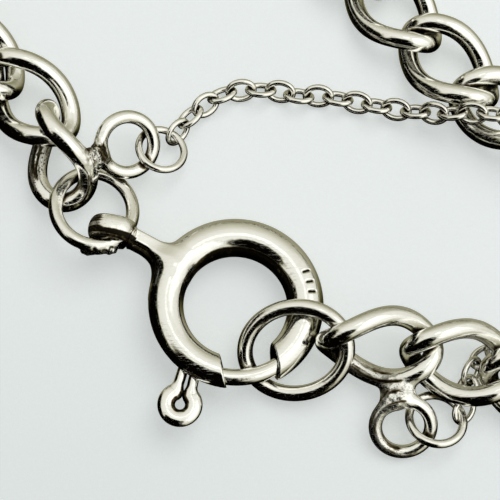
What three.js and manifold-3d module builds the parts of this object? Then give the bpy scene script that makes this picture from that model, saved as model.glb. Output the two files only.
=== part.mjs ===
// Curb chain bracelet with a bolt ring clasp and a fine safety chain, lying closed on a flat surface.
// Units are millimetres and +Z is up. The origin is on the surface, in the middle of the whole loop.
// Inside the "bracelet" group, places are measured from the middle of the bolt ring.
import * as THREE from 'three';
import { mergeVertices } from 'three/addons/utils/BufferGeometryUtils.js';
import Module from 'manifold-3d';

const wasm = await Module();
wasm.setup();

const DEG = THREE.MathUtils.DEG2RAD;

// ---- Driving dimensions -------------------------------------------------------------------------

// A curb link is an oval of wire whose two ends are twisted opposite ways, so the chain lies flat.
const CURB = { wire: 1.65, halfLength: 4.1, halfWidth: 2.7, endTwist: 50, steps: 17, sides: 8 };

// The bolt ring is a hollow tube bent to a ring and cut by one parallel-sided gap. It leans a little,
// because the jump rings lift its far side. Angles round it are in degrees, from X towards Y.
const CLASP = { x: 0, y: 0, z: 1.8, slopeX: -0.062, slopeY: -0.086 };
const RING = { radius: 5.3, tube: 2.5, bore: 1.9, sides: 14, steps: 44 };
const GAP = { width: 3.84, angle: 281.5 };
const BORE = { from: 174, to: 270 };
const SOCKET = { from: 292, to: 311 };
const LEVER_SLOT = { from: 184, to: 270, inner: 5.65, outer: 7.4, height: 1.5 };
// The upright eye at the clasp's far end, and the short neck between it and the ring.
const EYE = { x: -8.85, y: 5.72, z: 0.5, heading: 170.5, halfLength: 1.75, halfHeight: 1.38, wire: 0.94,
  widen: 1.9 };
const NECK = { ringAngle: 142, ringWidth: 2.2, eyeWidth: 1.76 };

// The bolt is a curved wire in the tube, in one piece with its folded thumb lever. The lever's hole and
// slit are measured on its flat faces, and its rounded edges make them narrower inside.
const BOLT = { wire: 1.24, from: 226, to: 307.5, sides: 10, steps: 16 };
const LEVER = { angle: 237.5, lean: 12.5, surface: 6.55, reach: 1.3, neck: 0.62, bulge: 1.62, bulgeAt: 2.1,
  hole: 0.5, slit: 0.21, slitStart: 0.3, thickness: 0.96, round: 0.15 };

// Round rings. Each lies in a plane that rises by slopeX along X and by slopeY along Y.
const JUMP_RIGHT = { x: 4.64, y: -3.34, z: 2.11, slopeX: 0.203, slopeY: 0.355,
  halfLength: 3.98, halfWidth: 3.56, heading: 15.3, wire: 1.1, steps: 24, sides: 8 };
const JUMP_LEFT = { x: -11.0, y: 7.46, z: 2.61, slopeX: -0.337, slopeY: -0.255,
  halfLength: 2.93, halfWidth: 2.99, heading: 0, wire: 1.0, steps: 24, sides: 8 };
const THIN_RIGHT = { x: 14.62, y: -9.41, z: 1.02, slopeX: -0.077, slopeY: -0.371,
  halfLength: 2.0, halfWidth: 2.0, heading: 0, wire: 0.64, steps: 20, sides: 6 };
const THIN_LEFT = { x: -5.98, y: 12.25, z: 1.83, slopeX: -0.312, slopeY: -0.366,
  halfLength: 1.75, halfWidth: 1.75, heading: 0, wire: 0.56, steps: 20, sides: 6 };

// Small rings soldered to the side of the first and of the last link. A bead of solder fills the
// corner between each ring and its link.
const SOLDERED = { halfLength: 2.05, halfWidth: 2.05, heading: 0, wire: 1.0, steps: 20, sides: 8 };
const SOLDERED_RIGHT = { x: 12.33, y: -8.97, z: 1.56, slopeX: 0, slopeY: 0.564, ...SOLDERED };
const SOLDERED_LEFT = { x: -8.38, y: 12.28, z: 2.83, slopeX: -0.492, slopeY: 0.413, ...SOLDERED };
const SOLDER_BEAD = { radius: 0.85, right: [12.2, -6.75, 2.35], left: [-10.45, 12.2, 3.75] };

// Links that lean on something: the first two, beside the clasp, and the last two, before it.
const FIRST_LINKS = [
  { x: 10.71, y: -3.61, z: 2.65, heading: -6.2, pitch: -4.4, roll: 32.2 },
  { x: 16.8, y: -4.5, z: 2.19, heading: -10.1, pitch: -4.6, roll: 15.8 },
];
const LAST_LINKS = [
  { x: -15.59, y: 16.23, z: 2.04, heading: -47, pitch: -1.6, roll: 6.2 },
  { x: -13.12, y: 11.39, z: 2.79, heading: -77.1, pitch: -12.1, roll: 45.8 },
];

// The rest lie flat. Each row is a stretch of links that turn by the same angle at the same pitch.
const FLAT_START = { x: 22.54, y: -6.26, heading: -21 };
const FLAT_HEIGHT = 1.95;
const FLAT_RUN = [
  { links: 1, turn: -9.5, pitch: 6.0 },
  { links: 8, turn: 27.25, pitch: 5.75 },
  { links: 2, turn: -16.2, pitch: 6.0 },
  { links: 1, turn: -25, pitch: 5.9 },
  { links: 1, turn: -4, pitch: 6.4 },
  { links: 3, turn: 0, pitch: 5.82 },
  { links: 8, turn: 23.37, pitch: 5.72 },
];

// The fine safety chain, from the left thin ring to the right one. It crosses over the curb chain,
// turns back on the surface inside the loop and ends under the second link.
const SAFETY = { width: 0.9, sides: 8, steps: 66 };
const SAFETY_ROUTE = [
  [-4.55, 13.75, 0.85], [-4.15, 14.4, 0.6], [-3.7, 15.4, 0.52], [-2.6, 16.3, 0.52], [-1.2, 17.2, 0.52],
  [0.6, 17.35, 0.52], [2.4, 17.15, 0.52], [4.3, 16.75, 0.52], [6.2, 16.8, 0.52], [8.6, 16.3, 0.52],
  [10.9, 15.7, 0.6], [12.7, 15.4, 1.5], [14.4, 15.0, 3.2], [16.2, 14.45, 4.55], [18.1, 14.2, 4.7],
  [20.2, 13.9, 4.7], [22.3, 12.5, 4.6], [23.9, 10.2, 4.2], [25.0, 8.0, 1.9], [25.6, 5.8, 0.6],
  [25.1, 3.2, 0.52], [23.2, 1.3, 0.48], [20.9, 0.3, 0.48], [19.3, -1.0, 0.48], [18.6, -2.6, 0.48],
  [18.2, -4.2, 0.48], [17.8, -5.9, 0.48], [17.1, -7.4, 0.48], [16.7, -8.0, 0.48],
];

// The middle of the whole loop, which becomes the origin.
const LOOP_CENTRE = { x: 11.27, y: 16.32 };

// ---- Materials ----------------------------------------------------------------------------------

const silver = (name, color, roughness) =>
  new THREE.MeshStandardMaterial({ name, color, roughness, metalness: 1 });

const polished = silver('polished_silver', 0xd9d4c8, 0.18);
const worn = silver('worn_silver', 0xc9c3b4, 0.28);

// ---- Curves -------------------------------------------------------------------------------------

// The centre line of a curb link, along X.
class CurbLinkCurve extends THREE.Curve {
  getPoint(t, target = new THREE.Vector3()) {
    const across = CURB.halfWidth * Math.sin(2 * Math.PI * t);
    const along = CURB.halfLength * Math.cos(2 * Math.PI * t);
    const twist = -CURB.endTwist * DEG * (along / CURB.halfLength);
    return target.set(along, across * Math.cos(twist), across * Math.sin(twist));
  }
}

// A flat closed oval in the XY plane, its long axis turned by a heading.
class OvalCurve extends THREE.Curve {
  constructor({ halfLength, halfWidth, heading }) {
    super();
    this.size = [halfLength, halfWidth];
    this.heading = heading * DEG;
  }

  getPoint(t, target = new THREE.Vector3()) {
    const [a, b] = this.size;
    const p = new THREE.Vector2(a * Math.cos(2 * Math.PI * t), b * Math.sin(2 * Math.PI * t));
    p.rotateAround(new THREE.Vector2(), this.heading);
    return target.set(p.x, p.y, 0);
  }
}

// Part of the bolt ring's centre line, between two angles in degrees.
class RingArcCurve extends THREE.Curve {
  constructor(from, to) {
    super();
    this.from = from * DEG;
    this.to = to * DEG;
  }

  getPoint(t, target = new THREE.Vector3()) {
    const angle = this.from + (this.to - this.from) * t;
    return target.set(RING.radius * Math.cos(angle), RING.radius * Math.sin(angle), 0);
  }
}

// ---- Solids -------------------------------------------------------------------------------------

function toSolid(geometry) {
  const bare = geometry.clone();
  bare.deleteAttribute('normal');
  bare.deleteAttribute('uv');
  const merged = mergeVertices(bare, 1e-4);
  const mesh = new wasm.Mesh({
    numProp: 3,
    vertProperties: Float32Array.from(merged.attributes.position.array),
    triVerts: Uint32Array.from(merged.index.array),
  });
  return new wasm.Manifold(mesh);
}

function toGeometry(solid) {
  const mesh = solid.getMesh();
  const geometry = new THREE.BufferGeometry();
  geometry.setAttribute('position', new THREE.BufferAttribute(mesh.vertProperties, 3));
  geometry.setIndex(new THREE.BufferAttribute(mesh.triVerts, 1));
  geometry.computeVertexNormals();
  return geometry;
}

// A round section whose corners lie on the given diameter.
function roundSection(diameter, sides) {
  const corners = Array.from({ length: sides }, (_, i) => {
    const angle = (2 * Math.PI * i) / sides;
    return new THREE.Vector2(Math.cos(angle), Math.sin(angle)).multiplyScalar(diameter / 2);
  });
  return new THREE.Shape(corners);
}

// Wire bent to a closed curve.
const closedWire = (curve, wire, steps, sides) => new THREE.TubeGeometry(curve, steps, wire / 2, sides, true);

// Wire along an open curve, with flat ends.
const openWire = (curve, wire, steps, sides) =>
  new THREE.ExtrudeGeometry(roundSection(wire, sides), { steps, extrudePath: curve });

const ringArcWire = (from, to, wire, steps, sides) =>
  openWire(new RingArcCurve(from, to), wire, steps, sides);

// The matrix of a flat thing that lies in a sloping plane.
function slopeMatrix({ x, y, z, slopeX, slopeY }) {
  const normal = new THREE.Vector3(-slopeX, -slopeY, 1).normalize();
  const first = new THREE.Vector3(1, 0, 0).addScaledVector(normal, -normal.x).normalize();
  const second = new THREE.Vector3().crossVectors(normal, first);
  return new THREE.Matrix4().makeBasis(first, second, normal).setPosition(x, y, z);
}

// The matrix of a link: its heading over the surface, its pitch and its roll, in degrees.
function linkMatrix({ x, y, z, heading, pitch = 0, roll = 0 }) {
  const turn = new THREE.Euler(roll * DEG, -pitch * DEG, heading * DEG, 'ZYX');
  return new THREE.Matrix4().makeRotationFromEuler(turn).setPosition(x, y, z);
}

function placedMesh(name, geometry, material, matrix) {
  const mesh = new THREE.Mesh(geometry, material);
  mesh.name = name;
  matrix.decompose(mesh.position, mesh.quaternion, mesh.scale);
  return mesh;
}

// ---- Curb chain ---------------------------------------------------------------------------------

// Walks along the flat stretch: half a pitch on the old heading, then half on the new one.
function flatLinks() {
  const poses = [{ ...FLAT_START, z: FLAT_HEIGHT }];
  for (const { links, turn, pitch } of FLAT_RUN) {
    for (let i = 0; i < links; i += 1) {
      const last = poses[poses.length - 1];
      const heading = last.heading + turn;
      const stepX = Math.cos(last.heading * DEG) + Math.cos(heading * DEG);
      const stepY = Math.sin(last.heading * DEG) + Math.sin(heading * DEG);
      const x = last.x + (pitch / 2) * stepX;
      const y = last.y + (pitch / 2) * stepY;
      poses.push({ x, y, z: FLAT_HEIGHT, heading });
    }
  }
  return poses;
}

// A link with a small ring soldered to its side, worked out where it lies and given in its own axes.
function linkWithRing(link, pose, ring, bead) {
  const wire = closedWire(new OvalCurve(ring), ring.wire, ring.steps, ring.sides);
  const solder = new THREE.SphereGeometry(SOLDER_BEAD.radius, 10, 8).translate(...bead);
  const toLink = linkMatrix(pose).invert();
  const solid = toSolid(link)
    .add(toSolid(wire.applyMatrix4(slopeMatrix(ring)).applyMatrix4(toLink)))
    .add(toSolid(solder.applyMatrix4(toLink)));
  return toGeometry(solid);
}

function curbChain() {
  const poses = [...FIRST_LINKS, ...flatLinks(), ...LAST_LINKS];
  const link = closedWire(new CurbLinkCurve(), CURB.wire, CURB.steps, CURB.sides);
  const soldered = new Map([
    [0, linkWithRing(link, poses[0], SOLDERED_RIGHT, SOLDER_BEAD.right)],
    [poses.length - 1, linkWithRing(link, poses[poses.length - 1], SOLDERED_LEFT, SOLDER_BEAD.left)],
  ]);
  return poses.map((pose, i) => {
    const name = `curb_link_${String(i + 1).padStart(2, '0')}`;
    return placedMesh(name, soldered.get(i) ?? link, polished, linkMatrix(pose));
  });
}

// ---- Clasp --------------------------------------------------------------------------------------

// The parallel-sided cut across the ring's tube.
function gapCut() {
  const cut = new THREE.BoxGeometry(2 * RING.tube, GAP.width, 2 * RING.tube);
  cut.translate(RING.radius, 0, 0);
  return cut.rotateZ(GAP.angle * DEG);
}

// The slot in the tube's outer wall that the lever slides along.
function leverSlotCut() {
  const { from, to, inner, outer, height } = LEVER_SLOT;
  const sector = new THREE.Shape();
  sector.absarc(0, 0, outer, from * DEG, to * DEG, false);
  sector.absarc(0, 0, inner, to * DEG, from * DEG, true);
  const cut = new THREE.ExtrudeGeometry(sector, { depth: height, bevelEnabled: false, curveSegments: 14 });
  return cut.translate(0, 0, -height / 2);
}

// The upright oval eye that the left jump ring runs through.
function claspEye() {
  const oval = new OvalCurve({ halfLength: EYE.halfLength, halfWidth: EYE.halfHeight, heading: 0 });
  const eye = closedWire(oval, EYE.wire, 20, 8);
  eye.scale(1, 1, EYE.widen);
  eye.rotateX(Math.PI / 2);
  eye.rotateZ(EYE.heading * DEG);
  return eye.translate(EYE.x, EYE.y, EYE.z);
}

// The short stem from the ring's tube to the near end of the eye.
function claspNeck() {
  const angle = NECK.ringAngle * DEG;
  const foot = new THREE.Vector3(RING.radius * Math.cos(angle), RING.radius * Math.sin(angle), 0);
  const nearEnd = EYE.halfLength - EYE.wire / 4;
  const head = new THREE.Vector3(
    EYE.x - nearEnd * Math.cos(EYE.heading * DEG), EYE.y - nearEnd * Math.sin(EYE.heading * DEG), EYE.z);
  const axis = new THREE.Vector3().subVectors(head, foot);
  const stem = new THREE.CylinderGeometry(NECK.eyeWidth / 2, NECK.ringWidth / 2, axis.length(), 12);
  const upright = new THREE.Vector3(0, 1, 0);
  stem.applyQuaternion(new THREE.Quaternion().setFromUnitVectors(upright, axis.normalize()));
  const middle = foot.add(head).multiplyScalar(0.5);
  return stem.translate(middle.x, middle.y, middle.z);
}

function claspBody() {
  const torus = new THREE.TorusGeometry(RING.radius, RING.tube / 2, RING.sides, RING.steps);
  const bore = ringArcWire(BORE.from, BORE.to, RING.bore, 18, 12);
  const socket = ringArcWire(SOCKET.from, SOCKET.to, RING.bore, 5, 12);
  const hooked = toSolid(torus).add(toSolid(claspNeck())).add(toSolid(claspEye()));
  const cuts = [gapCut(), bore, socket, leverSlotCut()];
  const solid = cuts.reduce((body, cut) => body.subtract(toSolid(cut)), hooked);
  return placedMesh('clasp_body', toGeometry(solid), polished, slopeMatrix(CLASP));
}

// The folded thumb lever: two legs that part round a small hole, drawn along X from the tube's surface.
function thumbLever() {
  const { reach, neck, bulge, bulgeAt, hole, slit, slitStart, thickness, round } = LEVER;
  const half = neck - round;
  const radius = bulge - round;
  const meet = Math.asin(half / radius);
  const outline = new THREE.Shape();
  outline.moveTo(-reach, -half);
  outline.absarc(bulgeAt, 0, radius, -Math.PI + meet, Math.PI - meet, false);
  outline.lineTo(-reach, half);
  const eyelet = new THREE.Path();
  const open = Math.asin(slit / hole);
  eyelet.absarc(bulgeAt, 0, hole, Math.PI - open, -Math.PI + open, true);
  eyelet.lineTo(slitStart, -slit);
  eyelet.lineTo(slitStart, slit);
  outline.holes.push(eyelet);
  const plate = new THREE.ExtrudeGeometry(outline, {
    depth: thickness - 2 * round, bevelThickness: round, bevelSize: round, bevelSegments: 2, curveSegments: 9,
  });
  plate.translate(0, 0, -thickness / 2 + round).rotateZ(LEVER.lean * DEG).translate(LEVER.surface, 0, 0);
  return plate.rotateZ(LEVER.angle * DEG);
}

function claspBolt() {
  const wire = ringArcWire(BOLT.from, BOLT.to, BOLT.wire, BOLT.steps, BOLT.sides);
  const solid = toSolid(wire).add(toSolid(thumbLever()));
  return placedMesh('clasp_bolt', toGeometry(solid), polished, slopeMatrix(CLASP));
}

// ---- Rings and safety chain ---------------------------------------------------------------------

function wireRing(name, ring) {
  const wire = closedWire(new OvalCurve(ring), ring.wire, ring.steps, ring.sides);
  return placedMesh(name, wire, worn, slopeMatrix(ring));
}

function safetyChain() {
  const points = SAFETY_ROUTE.map((p) => new THREE.Vector3(...p));
  const route = new THREE.CatmullRomCurve3(points, false, 'centripetal');
  const tube = openWire(route, SAFETY.width, SAFETY.steps, SAFETY.sides);
  return placedMesh('safety_chain', tube, worn, new THREE.Matrix4());
}

// ---- Assembly -----------------------------------------------------------------------------------

const bracelet = new THREE.Group();
bracelet.add(
  claspBody(),
  claspBolt(),
  wireRing('jump_ring_right', JUMP_RIGHT),
  ...curbChain(),
  wireRing('jump_ring_left', JUMP_LEFT),
  wireRing('safety_ring_right', THIN_RIGHT),
  wireRing('safety_ring_left', THIN_LEFT),
  safetyChain(),
);
bracelet.position.set(-LOOP_CENTRE.x, -LOOP_CENTRE.y, 0);

export default bracelet;
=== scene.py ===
"""Looks of a silver curb chain bracelet with a bolt ring clasp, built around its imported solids.

Sizes are in millimetres and angles in degrees, unless a name says otherwise. Places are measured from
the middle of the bolt ring, on the surface the bracelet lies on. They become metres in the row frame,
whose origin is the middle of the whole loop, when a mesh is made.
"""

import sys

import logging
import math
from dataclasses import dataclass, field
from enum import Enum
from typing import Callable, Iterable, Sequence

import bmesh
import bpy
import numpy as np
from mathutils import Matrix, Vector


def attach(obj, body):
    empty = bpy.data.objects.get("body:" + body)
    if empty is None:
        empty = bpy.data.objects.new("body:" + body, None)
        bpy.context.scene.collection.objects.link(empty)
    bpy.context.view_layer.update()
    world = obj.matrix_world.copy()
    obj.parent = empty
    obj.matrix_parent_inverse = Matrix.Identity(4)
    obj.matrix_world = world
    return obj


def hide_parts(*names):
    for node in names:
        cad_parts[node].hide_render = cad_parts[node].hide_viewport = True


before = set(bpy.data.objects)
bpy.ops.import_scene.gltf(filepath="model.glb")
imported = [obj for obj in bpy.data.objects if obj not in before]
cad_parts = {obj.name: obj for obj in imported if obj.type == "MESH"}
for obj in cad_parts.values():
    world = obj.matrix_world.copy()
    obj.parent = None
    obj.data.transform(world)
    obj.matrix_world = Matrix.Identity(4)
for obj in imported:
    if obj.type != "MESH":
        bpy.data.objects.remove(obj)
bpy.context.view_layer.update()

Array = np.ndarray
Field = Callable[[Array], Array]
Triple = tuple[float, float, float]
# The two ends of a smooth step: the value where it is 0, and the value where it is 1.
Fade = tuple[float, float]

LOG = logging.getLogger("bracelet")
MM = 0.001
DEG = math.pi / 180
LOOP_CENTRE = np.array([11.27, 16.32, 0.0])
# Keeps a divisor away from zero.
TINY = 1e-6
# The share of its length that a wire keeps in the pattern of its streaks, which draws them out along it.
STREAK_SHARE = 0.08


class Body(Enum):
    """The moving bodies of the part."""

    BRACELET = "bracelet"
    BOLT = "bolt"


class Slot(Enum):
    """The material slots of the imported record."""

    BRIGHT = "bright_silver"
    WORN = "worn_silver"


# ---- Node graphs --------------------------------------------------------------------------------


class Value:
    """A number's socket in a node graph, with the arithmetic that adds Math nodes."""

    def __init__(self, graph: "Graph", socket: bpy.types.NodeSocket) -> None:
        """Wraps one output socket."""
        self.graph = graph
        self.socket = socket

    def _math(self, operation: str, *terms: object) -> "Value":
        """Adds one Math node."""
        return self.graph.value("ShaderNodeMath", {"operation": operation}, dict(enumerate(terms)))

    def __add__(self, other: object) -> "Value":
        """self + other."""
        return self._math("ADD", self, other)

    def __sub__(self, other: object) -> "Value":
        """self - other."""
        return self._math("SUBTRACT", self, other)

    def __rsub__(self, other: object) -> "Value":
        """other - self."""
        return self._math("SUBTRACT", other, self)

    def __mul__(self, other: object) -> "Value":
        """self * other."""
        return self._math("MULTIPLY", self, other)

    def __truediv__(self, other: object) -> "Value":
        """self / other."""
        return self._math("DIVIDE", self, other)

    def __neg__(self) -> "Value":
        """-self."""
        return self._math("MULTIPLY", self, -1.0)

    __radd__ = __add__
    __rmul__ = __mul__

    def cosine(self) -> "Value":
        """The cosine of an angle in radians."""
        return self._math("COSINE", self)

    def sine(self) -> "Value":
        """The sine of an angle in radians."""
        return self._math("SINE", self)

    def larger(self, other: object) -> "Value":
        """The larger of the two."""
        return self._math("MAXIMUM", self, other)

    def step(self, low: float, high: float) -> "Value":
        """A smooth step from 0 at low to 1 at high. With low above high, it falls instead."""
        rising = low < high
        ends = {"From Min": min(low, high), "From Max": max(low, high)}
        ends.update({"To Min": 0.0 if rising else 1.0, "To Max": 1.0 if rising else 0.0})
        settings = {"interpolation_type": "SMOOTHSTEP"}
        return self.graph.value("ShaderNodeMapRange", settings, {"Value": self, **ends}, "Result")


class Graph:
    """A node tree and the one method that adds a node to it."""

    def __init__(self, tree: bpy.types.NodeTree) -> None:
        """Wraps a tree."""
        self.tree = tree

    def node(self, kind: str, settings: dict | None = None, inputs: dict | None = None) -> bpy.types.Node:
        """Adds a node.

        Args:
            kind: the node's type.
            settings: properties of the node, set first. "stops" holds a ramp's (place, colour) pairs.
            inputs: values, sockets or Value objects for the node's inputs, by name or number.

        Returns:
            The new node.
        """
        made = self.tree.nodes.new(kind)
        for name, setting in (settings or {}).items():
            if name == "stops":
                fill_ramp(made.color_ramp, setting)
            else:
                setattr(made, name, setting)
        for key, given in (inputs or {}).items():
            source = given.socket if isinstance(given, Value) else given
            if isinstance(source, bpy.types.NodeSocket):
                self.tree.links.new(source, made.inputs[key])
            else:
                made.inputs[key].default_value = source
        return made

    def value(
        self, kind: str, settings: dict | None = None, inputs: dict | None = None, output: int | str = 0
    ) -> Value:
        """Adds a node and wraps one of its outputs, for arithmetic."""
        return Value(self, self.node(kind, settings, inputs).outputs[output])

    def noise(self, coords: object, size: float, detail: float = 3.0) -> Value:
        """A cloudy pattern whose patches have the given size."""
        inputs = {"Vector": coords, "Scale": 1 / (size * MM), "Detail": detail}
        return self.value("ShaderNodeTexNoise", {}, inputs)

    def mix(self, share: object, low: object, high: object) -> Value:
        """Mixes two colours. The numbers are the colour sockets of a Mix node."""
        return self.value("ShaderNodeMix", {"data_type": "RGBA"}, {0: share, 6: low, 7: high}, 2)

    def along(self, vector: object, direction: Sequence[float]) -> Value:
        """How far a vector points along a direction."""
        unit = tuple(Vector(direction).normalized())
        settings = {"operation": "DOT_PRODUCT"}
        return self.value("ShaderNodeVectorMath", settings, {0: vector, 1: unit}, "Value")


def fill_ramp(ramp: bpy.types.ColorRamp, stops: Sequence[tuple[float, Triple]]) -> None:
    """Sets a colour ramp's stops, each a place from 0 to 1 and a colour."""
    while len(ramp.elements) < len(stops):
        ramp.elements.new(1.0)
    for element, (place, colour) in zip(ramp.elements, stops):
        element.position = place
        element.color = (*colour, 1.0)


# ---- Finishes -----------------------------------------------------------------------------------


@dataclass(frozen=True)
class SilverFinish:
    """Silver with tarnish where it is never rubbed, and painted shade. It reads the mesh's attribute of
    both, and its "pits" attribute.
    """

    name: str
    silver: Triple = (0.95, 0.945, 0.9)
    tarnish_and_shade: Triple = (0.19, 0.145, 0.065)
    black: Triple = (0.016, 0.013, 0.008)
    pit: Triple = (0.10, 0.09, 0.05)
    blotch_size: float = 1.6
    grain_size: float = 0.28
    streak_size: float = 0.34
    dent_size: float = 0.9
    pit_size: float = 0.16
    scratch_size: float = 1.3
    scratch_stretch: Triple = (1.0, 22.0, 4.0)
    scratch_turns: tuple[float, ...] = (20.0, 75.0, 140.0)
    scratch_fade: Fade = (0.64, 0.70)
    # What each pattern adds to the amount of tarnish and painted shade: everywhere, in tarnished and shaded
    # places, and in pitted ones.
    blotch_share: float = 0.5
    grain_hidden: float = 0.7
    streak_hidden: float = 0.5
    streak_pitted: float = 3.0
    # The amounts of tarnish and painted shade over which silver turns brown, and brown turns black.
    brown_fade: Fade = (0.52, 0.8)
    black_fade: Fade = (0.7, 0.96)
    pit_fade: Fade = (0.46, 0.2)
    pit_cover: float = 0.6
    pit_grain: float = 0.5
    # The bare metal's roughness, and what tarnish, scratches, pitting and grain add to it.
    roughness: float = 0.1
    tarnish_roughness: float = 0.28
    scratch_roughness: float = 0.08
    pit_roughness: float = 0.22
    grain_roughness: float = 0.08
    # The heights of the relief. Streaks and grain are deeper by pitted_depth where the metal is pitted.
    dent_depth: float = 0.017
    scratch_depth: float = 0.002
    pit_depth: float = 0.032
    streak_depth: float = 0.006
    grain_depth: float = 0.0008
    pitted_depth: float = 0.03

    def scratches(self, graph: Graph, coords: object) -> Value:
        """Fine scratches in a few directions, 0 or 1."""
        total: Value | None = None
        for turn in self.scratch_turns:
            turned = graph.node(
                "ShaderNodeMapping",
                {"vector_type": "POINT"},
                {"Vector": coords, "Rotation": (0.0, 0.0, turn * DEG), "Scale": self.scratch_stretch},
            )
            streaks = graph.noise(turned.outputs[0], self.scratch_size, detail=2.0).step(*self.scratch_fade)
            total = streaks if total is None else total.larger(streaks)
        return total

    def material(self) -> bpy.types.Material:
        """Builds the finish's material.

        Returns:
            A material with a metallic surface.
        """
        made = bpy.data.materials.new(self.name)
        made.use_nodes = True
        made.node_tree.nodes.clear()
        graph = Graph(made.node_tree)
        coords = graph.node("ShaderNodeTexCoord").outputs["Object"]
        # The attribute holds tarnish and painted shade together. Both turn the silver brown, then black.
        tarnish_and_shade_level = graph.value("ShaderNodeAttribute", {"attribute_name": "tarnish_and_shade"}, {}, "Fac")
        pitted = graph.value("ShaderNodeAttribute", {"attribute_name": "pits"}, {}, "Fac")
        drawn = graph.node("ShaderNodeAttribute", {"attribute_name": "drawn"}).outputs["Vector"]
        blotch = graph.noise(coords, self.blotch_size)
        grain = graph.noise(coords, self.grain_size, detail=5.0)
        streaks = graph.noise(drawn, self.streak_size, detail=4.0)
        amount = tarnish_and_shade_level + (blotch - 0.5) * self.blotch_share + (grain - 0.5) * self.grain_hidden * tarnish_and_shade_level
        amount = amount + (streaks - 0.5) * (pitted * self.streak_pitted + tarnish_and_shade_level * self.streak_hidden)
        brown = amount.step(*self.brown_fade)
        black = amount.step(*self.black_fade)
        inputs = {"Vector": coords, "Scale": 1 / (self.pit_size * MM)}
        cells = graph.value("ShaderNodeTexVoronoi", {}, inputs)
        rim = cells + (1.0 - pitted) * self.pit_cover + (grain - 0.5) * self.pit_grain
        holes = rim.step(*self.pit_fade)
        marks = self.scratches(graph, coords)
        colour = graph.mix(brown, (*self.silver, 1.0), (*self.tarnish_and_shade, 1.0))
        colour = graph.mix(black, colour, (*self.black, 1.0))
        colour = graph.mix(holes, colour, (*self.pit, 1.0))
        rough = self.roughness + brown * self.tarnish_roughness + marks * self.scratch_roughness
        rough = rough + pitted * self.pit_roughness + (grain - 0.5) * self.grain_roughness
        dents = graph.noise(coords, self.dent_size, detail=2.0)
        height = dents * self.dent_depth - marks * self.scratch_depth - holes * self.pit_depth
        height = height + streaks * (pitted * self.pitted_depth + self.streak_depth)
        height = height + grain * (pitted * self.pitted_depth + self.grain_depth)
        bump = graph.node("ShaderNodeBump", {}, {"Strength": 1.0, "Distance": MM, "Height": height})
        surface = graph.node(
            "ShaderNodeBsdfPrincipled",
            {},
            {"Base Color": colour, "Roughness": rough, "Metallic": 1.0, "Normal": bump.outputs[0]},
        )
        graph.node("ShaderNodeOutputMaterial", {}, {"Surface": surface.outputs[0]})
        return made


@dataclass(frozen=True)
class CardFinish:
    """The pale, matt surface that the bracelet lies on. It glows with painted light, brighter towards its
    far side.
    """

    name: str = "pale_card"
    colour: Triple = (0.80, 0.842, 0.834)
    shade: Triple = (0.745, 0.79, 0.78)
    # Painted light: the card glows, which lifts its shadows, and it glows more towards the far side.
    near_glow: Triple = (0.385, 0.413, 0.402)
    far_glow: Triple = (0.449, 0.471, 0.466)
    glow_way: Triple = (0.45, 1.0, 0.0)
    glow_from: float = -44.0
    glow_to: float = -8.0
    grain_size: float = 0.32
    grain_depth: float = 0.03
    cloud_size: float = 50 / 3
    pattern_share: float = 0.6
    pattern_shift: float = 0.1
    shade_fade: Fade = (0.1, 0.9)
    roughness: float = 0.85
    specular: float = 0.1

    def material(self) -> bpy.types.Material:
        """Builds the card's material."""
        made = bpy.data.materials.new(self.name)
        made.use_nodes = True
        made.node_tree.nodes.clear()
        graph = Graph(made.node_tree)
        coords = graph.node("ShaderNodeTexCoord").outputs["Object"]
        grain = graph.noise(coords, self.grain_size)
        cloud = graph.noise(coords, self.cloud_size, detail=2.0)
        pattern = grain * self.pattern_share + cloud * self.pattern_share - self.pattern_shift
        colour = graph.mix(pattern.step(*self.shade_fade), (*self.colour, 1.0), (*self.shade, 1.0))
        # The painted glow grows brighter across the card, towards its far side.
        rise = graph.along(coords, self.glow_way).step(self.glow_from * MM, self.glow_to * MM)
        glow = graph.mix(rise, (*self.near_glow, 1.0), (*self.far_glow, 1.0))
        bump = graph.node(
            "ShaderNodeBump", {}, {"Strength": 1.0, "Distance": self.grain_depth * MM, "Height": grain}
        )
        surface = graph.node(
            "ShaderNodeBsdfPrincipled",
            {},
            {
                "Base Color": colour,
                "Roughness": self.roughness,
                "Normal": bump.outputs[0],
                "Specular IOR Level": self.specular,
                "Emission Color": glow,
                "Emission Strength": 1.0,
            },
        )
        graph.node("ShaderNodeOutputMaterial", {}, {"Surface": surface.outputs[0]})
        return made


# ---- Shapes and places --------------------------------------------------------------------------


def columns(*parts: object) -> Array:
    """Stacks numbers or arrays as the columns of one array of points."""
    return np.stack(np.broadcast_arrays(*parts), axis=-1)


def smooth_step(values: Array, low: float | Array, high: float | Array) -> Array:
    """A smooth step from 0 at low to 1 at high, where low may also be above high."""
    share = np.clip((values - low) / (high - low), 0.0, 1.0)
    return share * share * (3.0 - 2.0 * share)


def turn_about(axis: int, angle: float) -> Array:
    """The matrix that turns a point about X, Y or Z, which are 0, 1 and 2."""
    first, second = (axis + 1) % 3, (axis + 2) % 3
    made = np.eye(3)
    made[first, first] = made[second, second] = math.cos(angle * DEG)
    made[second, first] = math.sin(angle * DEG)
    made[first, second] = -math.sin(angle * DEG)
    return made


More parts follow.
